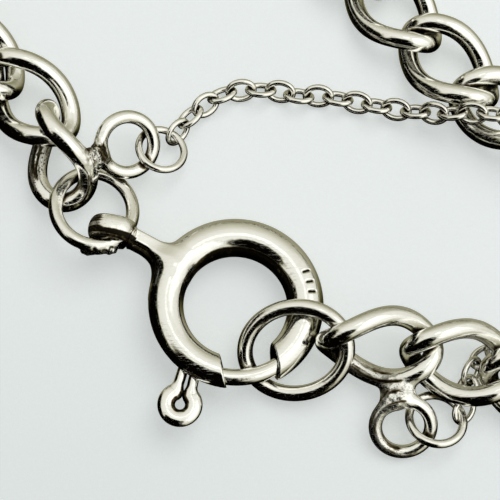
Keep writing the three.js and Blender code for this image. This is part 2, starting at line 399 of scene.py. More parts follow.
@dataclass(frozen=True)
class Place:
    """The middle of a thing and the directions of its own axes, which are the matrix's columns."""

    middle: Array
    axes: Array

    @classmethod
    def sloping(cls, x: float, y: float, z: float, slope_x: float, slope_y: float) -> "Place":
        """The place of a flat thing in a plane that rises by slope_x along X and slope_y along Y."""
        normal = np.array([-slope_x, -slope_y, 1.0])
        normal /= np.linalg.norm(normal)
        first = np.array([1.0, 0.0, 0.0]) - normal[0] * normal
        first /= np.linalg.norm(first)
        return cls(np.array([x, y, z]), np.stack([first, np.cross(normal, first), normal], axis=1))

    @classmethod
    def turned(
        cls, x: float, y: float, z: float, heading: float, pitch: float = 0.0, roll: float = 0.0
    ) -> "Place":
        """The place of a link, from its heading over the surface, its pitch and its roll."""
        axes = turn_about(2, heading) @ turn_about(1, -pitch) @ turn_about(0, roll)
        return cls(np.array([x, y, z]), axes)

    def outwards(self, points: Array) -> Array:
        """Takes points from the thing's own axes to the bracelet's."""
        return points @ self.axes.T + self.middle

    def inwards(self, points: Array) -> Array:
        """Takes points from the bracelet's axes to the thing's own."""
        return (points - self.middle) @ self.axes

    def euler(self) -> Triple:
        """The thing's turns about X, Y and Z, in radians, in the order that Geometry Nodes uses."""
        a = self.axes
        return (
            math.atan2(a[2, 1], a[2, 2]),
            math.atan2(-a[2, 0], math.hypot(a[0, 0], a[1, 0])),
            math.atan2(a[1, 0], a[0, 0]),
        )


@dataclass(frozen=True)
class Oval:
    """A closed flat oval of round wire."""

    half_length: float
    half_width: float
    wire: float
    heading: float = 0.0

    def line(self, turns: Array) -> Array:
        """Points of the wire's centre line at the given shares of a whole turn."""
        along = self.half_length * np.cos(2 * np.pi * turns)
        across = self.half_width * np.sin(2 * np.pi * turns)
        cos, sin = math.cos(self.heading * DEG), math.sin(self.heading * DEG)
        return columns(along * cos - across * sin, along * sin + across * cos, 0.0)


@dataclass(frozen=True)
class CurbLink:
    """A curb link: an oval of round wire whose two ends are twisted opposite ways."""

    half_length: float = 4.02
    half_width: float = 2.5
    wire: float = 1.5
    end_twist: float = 50.0

    def line(self, turns: Array) -> Array:
        """Points of the wire's centre line at the given shares of a whole turn."""
        share = np.cos(2 * np.pi * turns)
        across = self.half_width * np.sin(2 * np.pi * turns)
        twist = -self.end_twist * DEG * share
        return columns(self.half_length * share, across * np.cos(twist), across * np.sin(twist))


@dataclass(frozen=True)
class Wire:
    """A closed wire at its place, as centre line and as a distance field."""

    shape: Oval | CurbLink
    place: Place
    samples: int = 160
    # How many times the nearest point of the centre line is corrected.
    corrections: int = 2

    @property
    def radius(self) -> float:
        """Half the wire's thickness."""
        return self.shape.wire / 2

    def line(self, turns: Array) -> Array:
        """Points of the centre line, in the bracelet's axes."""
        return self.place.outwards(self.shape.line(turns))

    def points(self) -> Array:
        """Evenly spaced points of the centre line."""
        return self.line(np.arange(self.samples) / self.samples)

    def nearest(self, points: Array) -> tuple[Array, Array]:
        """The distance of points from the centre line, and the share of a turn where it is nearest."""
        own = self.place.inwards(points)
        guide = self.shape.line(np.arange(self.samples) / self.samples)
        turns = nearest_index(own, guide) / self.samples
        step = 1 / self.samples
        for _ in range(self.corrections):
            here, ahead, behind = (self.shape.line(turns + d) for d in (0.0, step, -step))
            slope = (ahead - behind) / (2 * step)
            bend = (ahead - 2 * here + behind) / step**2
            off = own - here
            rate = (slope * slope).sum(1) - (off * bend).sum(1)
            turns = turns + np.clip((off * slope).sum(1) / np.maximum(rate, TINY), -step, step)
        return np.linalg.norm(own - self.shape.line(turns), axis=1), turns

    def distance(self, points: Array) -> Array:
        """How far points lie outside the wire's surface."""
        return self.nearest(points)[0] - self.radius

    def drawn(self, points: Array) -> Array:
        """Where points lie on the straightened wire, whose length is much shortened."""
        turns = self.nearest(points)[1] % 1.0
        own = self.place.inwards(points)
        base = self.shape.line(turns)
        out = base / np.linalg.norm(base, axis=1, keepdims=True)
        length = 2 * np.pi * self.shape.half_length
        off = own - base
        return columns(turns * length * STREAK_SHARE, (off * out).sum(1), off[:, 2]) + self.place.middle


def nearest_index(points: Array, guide: Array, chunk: int = 20000) -> Array:
    """The number of the guide point nearest to each point."""
    found = np.empty(len(points), int)
    squares = (guide * guide).sum(1)
    for start in range(0, len(points), chunk):
        part = points[start : start + chunk]
        found[start : start + chunk] = (squares - 2 * part @ guide.T).argmin(1)
    return found


# ---- Distance fields ----------------------------------------------------------------------------


def melt(first: Array, second: Array, width: float) -> Array:
    """Joins two solids' distances with a rounded inner corner of the given width."""
    share = np.clip(0.5 + 0.5 * (second - first) / width, 0.0, 1.0)
    return second + (first - second) * share - width * share * (1.0 - share)


def carve(solid: Array, cut: Array, width: float) -> Array:
    """Cuts one solid from another, with an edge rounded over the given width."""
    return -melt(-solid, cut, width)


@dataclass(frozen=True)
class Ripple:
    """An uneven surface: a sum of waves in random directions."""

    size: float
    height: float
    seed: int
    waves: int = 14

    def at(self, points: Array) -> Array:
        """How far the surface stands out at points."""
        draw = np.random.default_rng(self.seed)
        ways = draw.normal(size=(self.waves, 3))
        ways *= (2 * np.pi / self.size) / np.linalg.norm(ways, axis=1, keepdims=True)
        phases = draw.uniform(0, 2 * np.pi, self.waves)
        return np.sin(points @ ways.T + phases).sum(1) / math.sqrt(self.waves) * self.height


@dataclass(frozen=True)
class Moulder:
    """Turns a distance field into a mesh of even quads that lie on its surface."""

    cell: float
    block: int = 8
    relaxing: int = 3
    # A block is worked out in full if its middle is within this many blocks of the surface.
    block_reach: float = 1.6
    # Shares of a cell: the step that a slope is measured over, and the furthest that a point moves.
    slope_step: float = 0.2
    furthest: float = 0.6
    least_square: float = 0.05

    def sample(self, solid: Field, low: Array, blocks: Array) -> Array:
        """The field on a grid, worked out point by point only in the blocks that the surface may cross."""
        size = self.block * self.cell
        corner = np.stack(np.meshgrid(*[np.arange(n) for n in blocks], indexing="ij"), -1).reshape(-1, 3)
        rough = solid(low + (corner + 0.5) * size)
        near = np.abs(rough) < self.block_reach * size
        values = np.repeat(rough[:, None], self.block**3, axis=1)
        inner = np.stack(np.meshgrid(*[np.arange(self.block)] * 3, indexing="ij"), -1).reshape(-1, 3)
        points = low + (corner[near][:, None, :] * self.block + inner[None]) * self.cell
        values[near] = solid(points.reshape(-1, 3)).reshape(-1, self.block**3)
        grid = values.reshape(*blocks, *[self.block] * 3).transpose(0, 3, 1, 4, 2, 5)
        return grid.reshape(*(blocks * self.block))

    def net(self, grid: Array) -> tuple[Array, Array]:
        """One vertex in each cell that the surface crosses, and a quad round each crossed edge."""
        inside = grid < 0
        shape = tuple(n - 1 for n in grid.shape)
        view = [slice(0, -1), slice(1, None)]
        corners = [(i, j, k) for i in (0, 1) for j in (0, 1) for k in (0, 1)]
        count = sum(inside[view[i], view[j], view[k]].astype(np.int8) for i, j, k in corners)
        mixed = (count > 0) & (count < 8)
        cells = np.argwhere(mixed)
        number = np.full(shape, -1)
        number[mixed] = np.arange(len(cells))
        total, hits = np.zeros((len(cells), 3)), np.zeros(len(cells))
        at = {c: grid[tuple((cells + c).T)] for c in corners}
        for first in corners:
            for axis in range(3):
                if first[axis]:
                    continue
                second = tuple(v + (a == axis) for a, v in enumerate(first))
                crossed = (at[first] < 0) != (at[second] < 0)
                gap = np.where(crossed, at[first] - at[second], 1.0)
                share = np.where(crossed, at[first] / gap, 0.0)
                offset = np.array(first) + share[:, None] * np.eye(3)[axis]
                total += offset * crossed[:, None]
                hits += crossed
        vertices = cells + total / hits[:, None]
        return vertices, self.quads(inside, number)

    def quads(self, inside: Array, number: Array) -> Array:
        """The four cells round each grid edge that the surface crosses, in outward order."""
        found = []
        for axis in range(3):
            one, two = (axis + 1) % 3, (axis + 2) % 3
            ahead = np.take(inside, range(1, inside.shape[axis]), axis)
            behind = np.take(inside, range(inside.shape[axis] - 1), axis)
            for flip, edges in ((False, behind & ~ahead), (True, ~behind & ahead)):
                places = np.argwhere(edges)
                places = places[(places[:, one] > 0) & (places[:, two] > 0)]
                steps = [(1, 1), (0, 1), (0, 0), (1, 0)]
                steps = steps[::-1] if flip else steps
                ring = []
                for a, b in steps:
                    place = places.copy()
                    place[:, one] -= a
                    place[:, two] -= b
                    ring.append(number[tuple(place.T)])
                found.append(np.stack(ring, axis=1))
        return np.concatenate(found)

    def settle(self, solid: Field, points: Array, rounds: int = 2) -> tuple[Array, Array]:
        """Moves points onto the surface, and gives the surface's direction there."""
        step = self.slope_step * self.cell
        for _ in range(rounds):
            here = solid(points)
            slope = np.stack([solid(points + step * e) for e in np.eye(3)], 1) - here[:, None]
            slope /= step
            square = np.maximum((slope * slope).sum(1), self.least_square)
            shift = slope * (here / square)[:, None]
            reach = np.linalg.norm(shift, axis=1, keepdims=True)
            points = points - shift * np.minimum(1.0, self.furthest * self.cell / np.maximum(reach, TINY))
        return points, slope / np.sqrt(square)[:, None]

    def mesh(self, solid: Field, low: Sequence[float], high: Sequence[float]) -> tuple[Array, Array]:
        """Meshes the field's surface inside a box.

        Args:
            solid: the distance field, negative inside.
            low: the box's lowest corner.
            high: the box's highest corner.

        Returns:
            The vertices, and the quads as rows of vertex numbers.
        """
        low, high = np.array(low, float), np.array(high, float)
        blocks = np.ceil((high - low) / (self.cell * self.block)).astype(int)
        vertices, quads = self.net(self.sample(solid, low, blocks))
        points = low + vertices * self.cell
        pairs = np.concatenate([quads[:, [i, (i + 1) % 4]] for i in range(4)])
        ends, others = pairs.ravel(), pairs[:, ::-1].ravel()
        count = np.bincount(ends, minlength=len(points))
        for _ in range(self.relaxing):
            total = np.stack([np.bincount(ends, points[others, a], len(points)) for a in range(3)], 1)
            points = 0.5 * points + 0.5 * total / count[:, None]
            points = self.settle(solid, points, 1)[0]
        return self.settle(solid, points)[0], quads


# ---- Meshes -------------------------------------------------------------------------------------


def mesh_object(name: str, points: Array, faces: Array) -> bpy.types.Object:
    """Makes a smooth-shaded object in the row frame, in metres.

    Args:
        name: the piece's name.
        points: vertices in millimetres, in the bracelet's axes.
        faces: rows of vertex numbers, all of the same length.

    Returns:
        The new object, linked to the scene.
    """
    mesh = bpy.data.meshes.new(name)
    count, sides = faces.shape
    mesh.vertices.add(len(points))
    mesh.vertices.foreach_set("co", ((points - LOOP_CENTRE) * MM).astype(np.float32).ravel())
    mesh.loops.add(count * sides)
    mesh.loops.foreach_set("vertex_index", faces.astype(np.int32).ravel())
    mesh.polygons.add(count)
    mesh.polygons.foreach_set("loop_start", np.arange(0, count * sides, sides, dtype=np.int32))
    mesh.polygons.foreach_set("use_smooth", np.ones(count, bool))
    mesh.update(calc_edges=True)
    mesh.validate()
    made = bpy.data.objects.new(name, mesh)
    bpy.context.scene.collection.objects.link(made)
    return made


def vertex_points(mesh: bpy.types.Mesh) -> Array:
    """A mesh's vertices in millimetres, in the bracelet's axes."""
    flat = np.empty(len(mesh.vertices) * 3, np.float32)
    mesh.vertices.foreach_get("co", flat)
    return flat.reshape(-1, 3).astype(float) / MM + LOOP_CENTRE


def vertex_normals(mesh: bpy.types.Mesh) -> Array:
    """A mesh's vertex normals."""
    flat = np.empty(len(mesh.vertices) * 3, np.float32)
    mesh.vertex_normals.foreach_get("vector", flat)
    return flat.reshape(-1, 3).astype(float)


def paint_drawn(made: bpy.types.Object, places: Array) -> None:
    """Stores where each vertex lies on its wire, in metres, for the streaks that run along it."""
    attribute = made.data.attributes.new("drawn", "FLOAT_VECTOR", "POINT")
    attribute.data.foreach_set("vector", (places * MM).astype(np.float32).ravel())


def paint(made: bpy.types.Object, name: str, values: Array) -> None:
    """Stores one number for each vertex, from 0 to 1."""
    attribute = made.data.attributes.new(name, "FLOAT", "POINT")
    attribute.data.foreach_set("value", np.clip(values, 0, 1).astype(np.float32))


def sweep(line: Array, wide: Array, high: Array, up: Array, sides: int = 20) -> tuple[Array, Array]:
    """Sweeps an oval section along an open line.

    Args:
        line: points of the centre line.
        wide: half the section's width at each point.
        high: half its height at each point.
        up: the direction of the height.
        sides: how many points the section has.

    Returns:
        The vertices, and the quads as rows of vertex numbers. The two ends are left open.
    """
    ahead = np.gradient(line, axis=0)
    ahead /= np.linalg.norm(ahead, axis=1, keepdims=True)
    out = np.cross(ahead, up)
    out /= np.linalg.norm(out, axis=1, keepdims=True)
    lift = np.cross(out, ahead)
    angles = 2 * np.pi * np.arange(sides) / sides
    cos, sin = np.cos(angles)[None, :, None], np.sin(angles)[None, :, None]
    aside = out[:, None] * wide[:, None, None] * cos
    points = line[:, None] + aside + lift[:, None] * high[:, None, None] * sin
    rows, cols = np.meshgrid(np.arange(len(line) - 1), np.arange(sides), indexing="ij")
    turn = (cols + 1) % sides
    corners = [(rows, cols), (rows, turn), (rows + 1, turn), (rows + 1, cols)]
    quads = np.stack([(r * sides + c).ravel() for r, c in corners], axis=1)
    return points.reshape(-1, 3), quads


@dataclass
class Surroundings:
    """Where every wire runs, so that a piece can tell how near the next piece of metal is."""

    runs: dict[str, tuple[Array, float]] = field(default_factory=dict)

    def add(self, name: str, points: Array, radius: float) -> None:
        """Adds a wire's centre line."""
        self.runs[name] = (points, radius)

    def gap(self, points: Array, own: Iterable[str], reach: float = 2.5) -> Array:
        """The distance from each point to the nearest metal, apart from the named wires' own."""
        found = np.full(len(points), reach)
        low, high = points.min(0) - reach, points.max(0) + reach
        for name, (line, radius) in self.runs.items():
            if name in own or (line < low).all(0).any() or (line > high).all(0).any():
                continue
            nearest = line[nearest_index(points, line)]
            found = np.minimum(found, np.linalg.norm(points - nearest, axis=1) - radius)
        return found


@dataclass(frozen=True)
class Dresser:
    """Gives finished meshes their tarnish and painted shade, their finish and their place in the table."""

    surroundings: Surroundings
    materials: dict[Slot, bpy.types.Material]
    # The painted darkening: tarnish with painted shade in corners, tarnish on the side towards the middle,
    # and painted shade underneath.
    corner_fade: Fade = (0.75, 0.05)
    inner_fade: Fade = (0.55, 1.0)
    inner_share: float = 0.66
    under_fade: Fade = (0.1, -0.7)
    under_share: float = 0.55

    def tarnish_and_shade(self, points: Array, normals: Array, own: Iterable[str], middle: Array) -> Array:
        """How dark each vertex is painted: tarnish with painted shade in corners, painted shade underneath,
        and tarnish on the side towards the middle.
        """
        corner = smooth_step(self.surroundings.gap(points, own), *self.corner_fade)
        inward = middle - points
        inward[:, 2] = 0.0
        inward /= np.maximum(np.linalg.norm(inward, axis=1, keepdims=True), TINY)
        facing = (normals * inward).sum(1)
        inner = smooth_step(facing, *self.inner_fade) * self.inner_share
        under = smooth_step(normals[:, 2], *self.under_fade) * self.under_share
        return np.maximum(corner, np.maximum(inner, under))

    def dress(
        self,
        made: bpy.types.Object,
        slot: Slot,
        body: Body,
        replaces: Iterable[str],
        pits: Array | None = None,
    ) -> bpy.types.Object:
        """Args:
            made: the finished piece.
            slot: the record's slot, which is also its finish.
            body: the body that it moves with.
            replaces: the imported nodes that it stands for.
            pits: how pitted each vertex is, or None for an even surface.

        Returns:
            The same piece.
        """
        made.data.materials.clear()
        made.data.materials.append(self.materials[slot])
        if pits is not None:
            paint(made, "pits", pits)
        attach(made, body.value)
        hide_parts(*replaces)
        return made


# ---- Geometry Nodes -----------------------------------------------------------------------------


@dataclass(frozen=True)
class ChainTree:
    """The node tree that bends one link from wire and repeats it at every point of a mesh."""

    name: str = "chain_of_links"

    def build(self) -> bpy.types.NodeTree:
        """Builds the tree.

        Returns:
            A tree that reads points with a "turn" attribute, in radians, and gives a mesh of links.
        """
        sizes = ("Half Length", "Half Width", "Wire", "End Twist")
        graph = open_tree(self.name, sizes, ("Steps", "Sides"))
        given = graph.node("NodeGroupInput").outputs
        step = Value(graph, given["Steps"])
        angle = graph.value("GeometryNodeInputIndex") * (2 * math.pi) / step
        share = angle.cosine()
        across = angle.sine() * Value(graph, given["Half Width"])
        twist = -(share * Value(graph, given["End Twist"]))
        along = share * Value(graph, given["Half Length"])
        parts = {"X": along, "Y": across * twist.cosine(), "Z": across * twist.sine()}
        place = graph.node("ShaderNodeCombineXYZ", {}, parts)
        circle = graph.node("GeometryNodeCurvePrimitiveCircle", {}, {"Resolution": given["Steps"]})
        bent = graph.node(
            "GeometryNodeSetPosition", {}, {"Geometry": circle.outputs[0], "Position": place.outputs[0]}
        )
        link = round_wire(graph, bent.outputs[0], given)
        settings = {"data_type": "FLOAT_VECTOR"}
        turn = graph.node("GeometryNodeInputNamedAttribute", settings, {"Name": "turn"})
        rotation = graph.node("FunctionNodeEulerToRotation", {}, {0: turn.outputs[0]})
        copies = graph.node(
            "GeometryNodeInstanceOnPoints",
            {},
            {"Points": given["Geometry"], "Instance": link, "Rotation": rotation.outputs[0]},
        )
        close_tree(graph, copies.outputs[0], given["Material"])
        return graph.tree


@dataclass(frozen=True)
class WireTree:
    """The node tree that gives closed centre lines their round wire."""

    name: str = "wire_along_lines"

    def build(self) -> bpy.types.NodeTree:
        """Builds the tree, which reads a mesh of closed edge loops."""
        graph = open_tree(self.name, ("Wire",), ("Sides",))
        given = graph.node("NodeGroupInput").outputs
        line = graph.node("GeometryNodeMeshToCurve", {}, {0: given["Geometry"]})
        close_tree(graph, round_wire(graph, line.outputs[0], given), given["Material"])
        return graph.tree


def open_tree(name: str, sizes: Sequence[str], counts: Sequence[str]) -> Graph:
    """Starts a tree that reads a mesh, sizes, counts and a material, and gives a mesh.

    Args:
        name: the tree's name.
        sizes: the names of its inputs that are sizes or angles.
        counts: the names of its inputs that are whole numbers.

    Returns:
        The new tree, in a graph.
    """
    tree = bpy.data.node_groups.new(name, "GeometryNodeTree")
    kinds = {"Geometry": "Geometry", **dict.fromkeys(sizes, "Float"), **dict.fromkeys(counts, "Int")}
    for label, kind in {**kinds, "Material": "Material"}.items():
        tree.interface.new_socket(label, in_out="INPUT", socket_type=f"NodeSocket{kind}")
    tree.interface.new_socket("Geometry", in_out="OUTPUT", socket_type="NodeSocketGeometry")
    return Graph(tree)


def round_wire(
    graph: Graph, line: bpy.types.NodeSocket, given: bpy.types.bpy_prop_collection
) -> bpy.types.NodeSocket:
    """Gives a curve a round section, from the tree's Wire and Sides inputs."""
    section = graph.node(
        "GeometryNodeCurvePrimitiveCircle",
        {},
        {"Resolution": given["Sides"], "Radius": Value(graph, given["Wire"]) * 0.5},
    )
    return graph.node("GeometryNodeCurveToMesh", {}, {0: line, 1: section.outputs[0]}).outputs[0]


def close_tree(graph: Graph, geometry: bpy.types.NodeSocket, material: bpy.types.NodeSocket) -> None:
    """Ends a tree: real geometry, smooth shading and a material."""
    real = graph.node("GeometryNodeRealizeInstances", {}, {"Geometry": geometry})
    smooth = graph.node("GeometryNodeSetShadeSmooth", {}, {"Geometry": real.outputs[0]})
    inputs = {"Geometry": smooth.outputs[0], "Material": material}
    dressed = graph.node("GeometryNodeSetMaterial", {}, inputs)
    graph.node("NodeGroupOutput", {}, {"Geometry": dressed.outputs[0]})


def grown(name: str, source: bpy.types.Object, tree: bpy.types.NodeTree, inputs: dict) -> bpy.types.Object:
    """Runs a tree on an object and keeps the result as a plain mesh.

    Args:
        name: the new piece's name.
        source: the object that the tree reads, removed afterwards.
        tree: the geometry node tree.
        inputs: values for the tree's named inputs.

    Returns:
        A new object with the tree's mesh and no modifier.
    """
    modifier = source.modifiers.new(tree.name, "NODES")
    modifier.node_group = tree
    for item in tree.interface.items_tree:
        if item.in_out == "INPUT" and item.name in inputs:
            modifier[item.identifier] = inputs[item.name]
    evaluated = source.evaluated_get(bpy.context.evaluated_depsgraph_get())
    mesh = bpy.data.meshes.new_from_object(evaluated)
    mesh.name = name
    made = bpy.data.objects.new(name, mesh)
    bpy.context.scene.collection.objects.link(made)
    bpy.data.objects.remove(source)
    return made


def seed_object(name: str, points: Array, edges: Array, turns: Array | None = None) -> bpy.types.Object:
    """Makes an object of bare points or edges for a tree to read, in metres in the row frame."""
    mesh = bpy.data.meshes.new(name)
    mesh.from_pydata(((points - LOOP_CENTRE) * MM).tolist(), edges.tolist(), [])
    if turns is not None:
        mesh.attributes.new("turn", "FLOAT_VECTOR", "POINT").data.foreach_set("vector", turns.ravel())
    made = bpy.data.objects.new(name, mesh)
    bpy.context.scene.collection.objects.link(made)
    return made


def repeated_links(
    name: str, places: Sequence[Place], link: Oval | CurbLink, tree: bpy.types.NodeTree, inputs: dict
) -> bpy.types.Object:
    """Repeats a link of round wire at every place.

    Args:
        name: the new piece's name.
        places: where each link lies.
        link: the link's sizes.
        tree: the chain tree.
        inputs: values for the tree's other inputs.

    Returns:
        One piece that holds the links' meshes, in the order of their places.
    """
    points = np.array([place.middle for place in places])
    turns = np.array([place.euler() for place in places])
    source = seed_object(f"{name}_points", points, np.empty((0, 2), int), turns)
    sizes = {"Half Length": link.half_length, "Half Width": link.half_width, "Wire": link.wire}
    metres = {label: size * MM for label, size in sizes.items()}
    return grown(name, source, tree, {**metres, **inputs})


# ---- Curb chain ---------------------------------------------------------------------------------


@dataclass
class CurbChain:
    """The run of curb links round the wrist."""

    link: CurbLink = CurbLink()
    height: float = 1.8
    steps: int = 96
    sides: int = 24
    start: Triple = (22.54, -6.26, -21.0)
    # Links that lie off the smooth run, by their number in the chain.
    posed: dict[int, Place] = field(
        default_factory=lambda: {
            1: Place.turned(10.55, -3.37, 3.11, -4.4, -4.6, 38.3),
            2: Place.turned(16.71, -4.39, 2.49, -12.4, -6.6, 20.3),
            3: Place.turned(22.49, -6.26, 1.96, -20.6, -3.1, 1.4),
            14: Place.turned(20.88, 15.03, 1.82, 157.1, -1.8, 2.3),
            15: Place.turned(16.48, 18.74, 1.95, 134.7, -3.4, 2.8),
            16: Place.turned(12.26, 23.47, 1.82, 134.1, 1.1, -1.1),
            25: Place.turned(-23.1, 30.24, 1.84, 265.9, 0.5, -0.2),
            26: Place.turned(-22.81, 24.56, 1.86, 287.3, 1.7, -0.7),
            27: Place.turned(-20.28, 19.56, 1.89, 313.1, 2.2, -0.4),
            28: Place.turned(-15.92, 15.91, 2.19, -46.3, 1.1, 13.5),
            29: Place.turned(-13.49, 11.19, 2.84, -77.0, -21.4, 51.4),
        }
    )
    end_link: CurbLink = CurbLink(half_length=3.62)
    # Stretches of links that turn by the same angle at the same pitch: (links, turn, pitch).
    run: tuple[Triple, ...] = (
        (1, -9.5, 6.0),
        (8, 27.25, 5.75),
        (2, -16.2, 6.0),
        (1, -25.0, 5.9),
        (1, -4.0, 6.4),
        (3, 0.0, 5.82),
        (8, 23.37, 5.72),
    )

    def smooth_run(self) -> dict[int, Place]:
        """The flat links by number, each half a pitch on the old heading and half on the new one."""
        x, y, heading = self.start
        places = {3: Place.turned(x, y, self.height, heading)}
        for links, turn, pitch in self.run:
            for _ in range(int(links)):
                ahead = heading + turn
                x += pitch / 2 * (math.cos(heading * DEG) + math.cos(ahead * DEG))
                y += pitch / 2 * (math.sin(heading * DEG) + math.sin(ahead * DEG))
                heading = ahead
                places[max(places) + 1] = Place.turned(x, y, self.height, heading)
        return places

    def wires(self) -> dict[str, Wire]:
        """Every link as a wire by its name, from the clasp's right side round to its left side."""
        places = {**self.smooth_run(), **self.posed}
        last = max(places)
        shapes = {last: self.end_link}
        return {
            f"curb_link_{number:02d}": Wire(shapes.get(number, self.link), places[number])
            for number in sorted(places)
        }

    def build(self, dresser: Dresser, tree: bpy.types.NodeTree) -> bpy.types.Object:
        """Makes the links between the two soldered ones, as one piece."""
        wires = dict(list(self.wires().items())[1:-1])
        places = [wire.place for wire in wires.values()]
        inputs = {
            "End Twist": self.link.end_twist * DEG,
            "Steps": self.steps,
            "Sides": self.sides,
            "Material": dresser.materials[Slot.BRIGHT],
        }
        made = repeated_links("curb_chain", places, self.link, tree, inputs)
        points, normals = vertex_points(made.data), vertex_normals(made.data)
        values = np.zeros(len(points))
        share = self.steps * self.sides
        for i, (name, wire) in enumerate(wires.items()):
            own = slice(i * share, (i + 1) * share)
            # Each link's tarnish and painted shade: in corners, underneath and on its inner side.
            values[own] = dresser.tarnish_and_shade(points[own], normals[own], [name], wire.place.middle)
        paint(made, "tarnish_and_shade", values)
        drawn = [wire.drawn(points[i * share : (i + 1) * share]) for i, wire in enumerate(wires.values())]
        paint_drawn(made, np.concatenate(drawn))
        return dresser.dress(made, Slot.BRIGHT, Body.BRACELET, wires)


@dataclass
class SolderedLink:
    """A curb link with a small ring soldered to its side."""

    name: str
    node: str
    link: Wire
    ring: Wire
    bead: Triple
    bead_radius: float
    web: float
    pit_middle: Triple
    pit_reach: float
    seed: int
    # From where across the link its arm is pitted, and how much.
    worn_arm: tuple[float, float]
    cell: float = 0.075
    margin: float = 1.3
    ripple_size: float = 0.5
    ripple_height: float = 0.045
    # How near the middle of the pitting the surface is fully rough, and fully pitted.
    full_ripple: float = 0.3
    full_pits: float = 0.4
    arm_edge: float = 0.7
    arm_middle: float = -0.1
    arm_fade: Fade = (3.2, 2.0)
    pit_tarnish: float = 0.75

    def solid(self, points: Array) -> Array:
        """The distance field of the link, the ring and the solder between them."""
        gap = np.linalg.norm(points - np.array(self.pit_middle), axis=1)
        ripple = Ripple(self.ripple_size, self.ripple_height, self.seed)
        rough = ripple.at(points) * smooth_step(gap, self.pit_reach, self.full_ripple)
        bead = np.linalg.norm(points - np.array(self.bead), axis=1) - self.bead_radius
        joined = melt(self.link.distance(points), self.ring.distance(points), self.web)
        return melt(joined, bead, self.web) + rough

    def pits(self, points: Array) -> Array:
        """How pitted the surface is round the solder and on the link's outer arm, from 0 to 1."""
        gap = np.linalg.norm(points - np.array(self.pit_middle), axis=1)
        pits = smooth_step(gap, self.pit_reach, self.full_pits)
        edge, share = self.worn_arm
        own = self.link.place.inwards(points)
        arm = smooth_step(own[:, 1], edge, edge - self.arm_edge)
        arm = arm * smooth_step(np.abs(own[:, 0] - self.arm_middle), *self.arm_fade)
        return np.maximum(pits, arm * share)

    def build(self, dresser: Dresser) -> bpy.types.Object:
        """Makes the piece."""
        line = np.concatenate([self.link.points(), self.ring.points()])
        low, high = line.min(0) - self.margin, line.max(0) + self.margin
        made = mesh_object(self.name, *Moulder(self.cell).mesh(self.solid, low, high))
        points, normals = vertex_points(made.data), vertex_normals(made.data)
        on_ring = self.ring.distance(points) < self.link.distance(points)
        own = [self.node, f"{self.node}_ring"]
        middles = np.where(on_ring[:, None], self.ring.place.middle, self.link.place.middle)
        pits = self.pits(points)
        # Tarnish and painted shade from the dresser, and tarnish on the pitted solder and arm.
        values = np.maximum(dresser.tarnish_and_shade(points, normals, own, middles), pits * self.pit_tarnish)
        paint(made, "tarnish_and_shade", values)
        paint_drawn(made, np.where(on_ring[:, None], self.ring.drawn(points), self.link.drawn(points)))
        return dresser.dress(made, Slot.BRIGHT, Body.BRACELET, [self.node], pits)


# ---- Clasp --------------------------------------------------------------------------------------


CLASP_PLACE = Place.sloping(0.0, 0.0, 1.98, -0.062, -0.086)


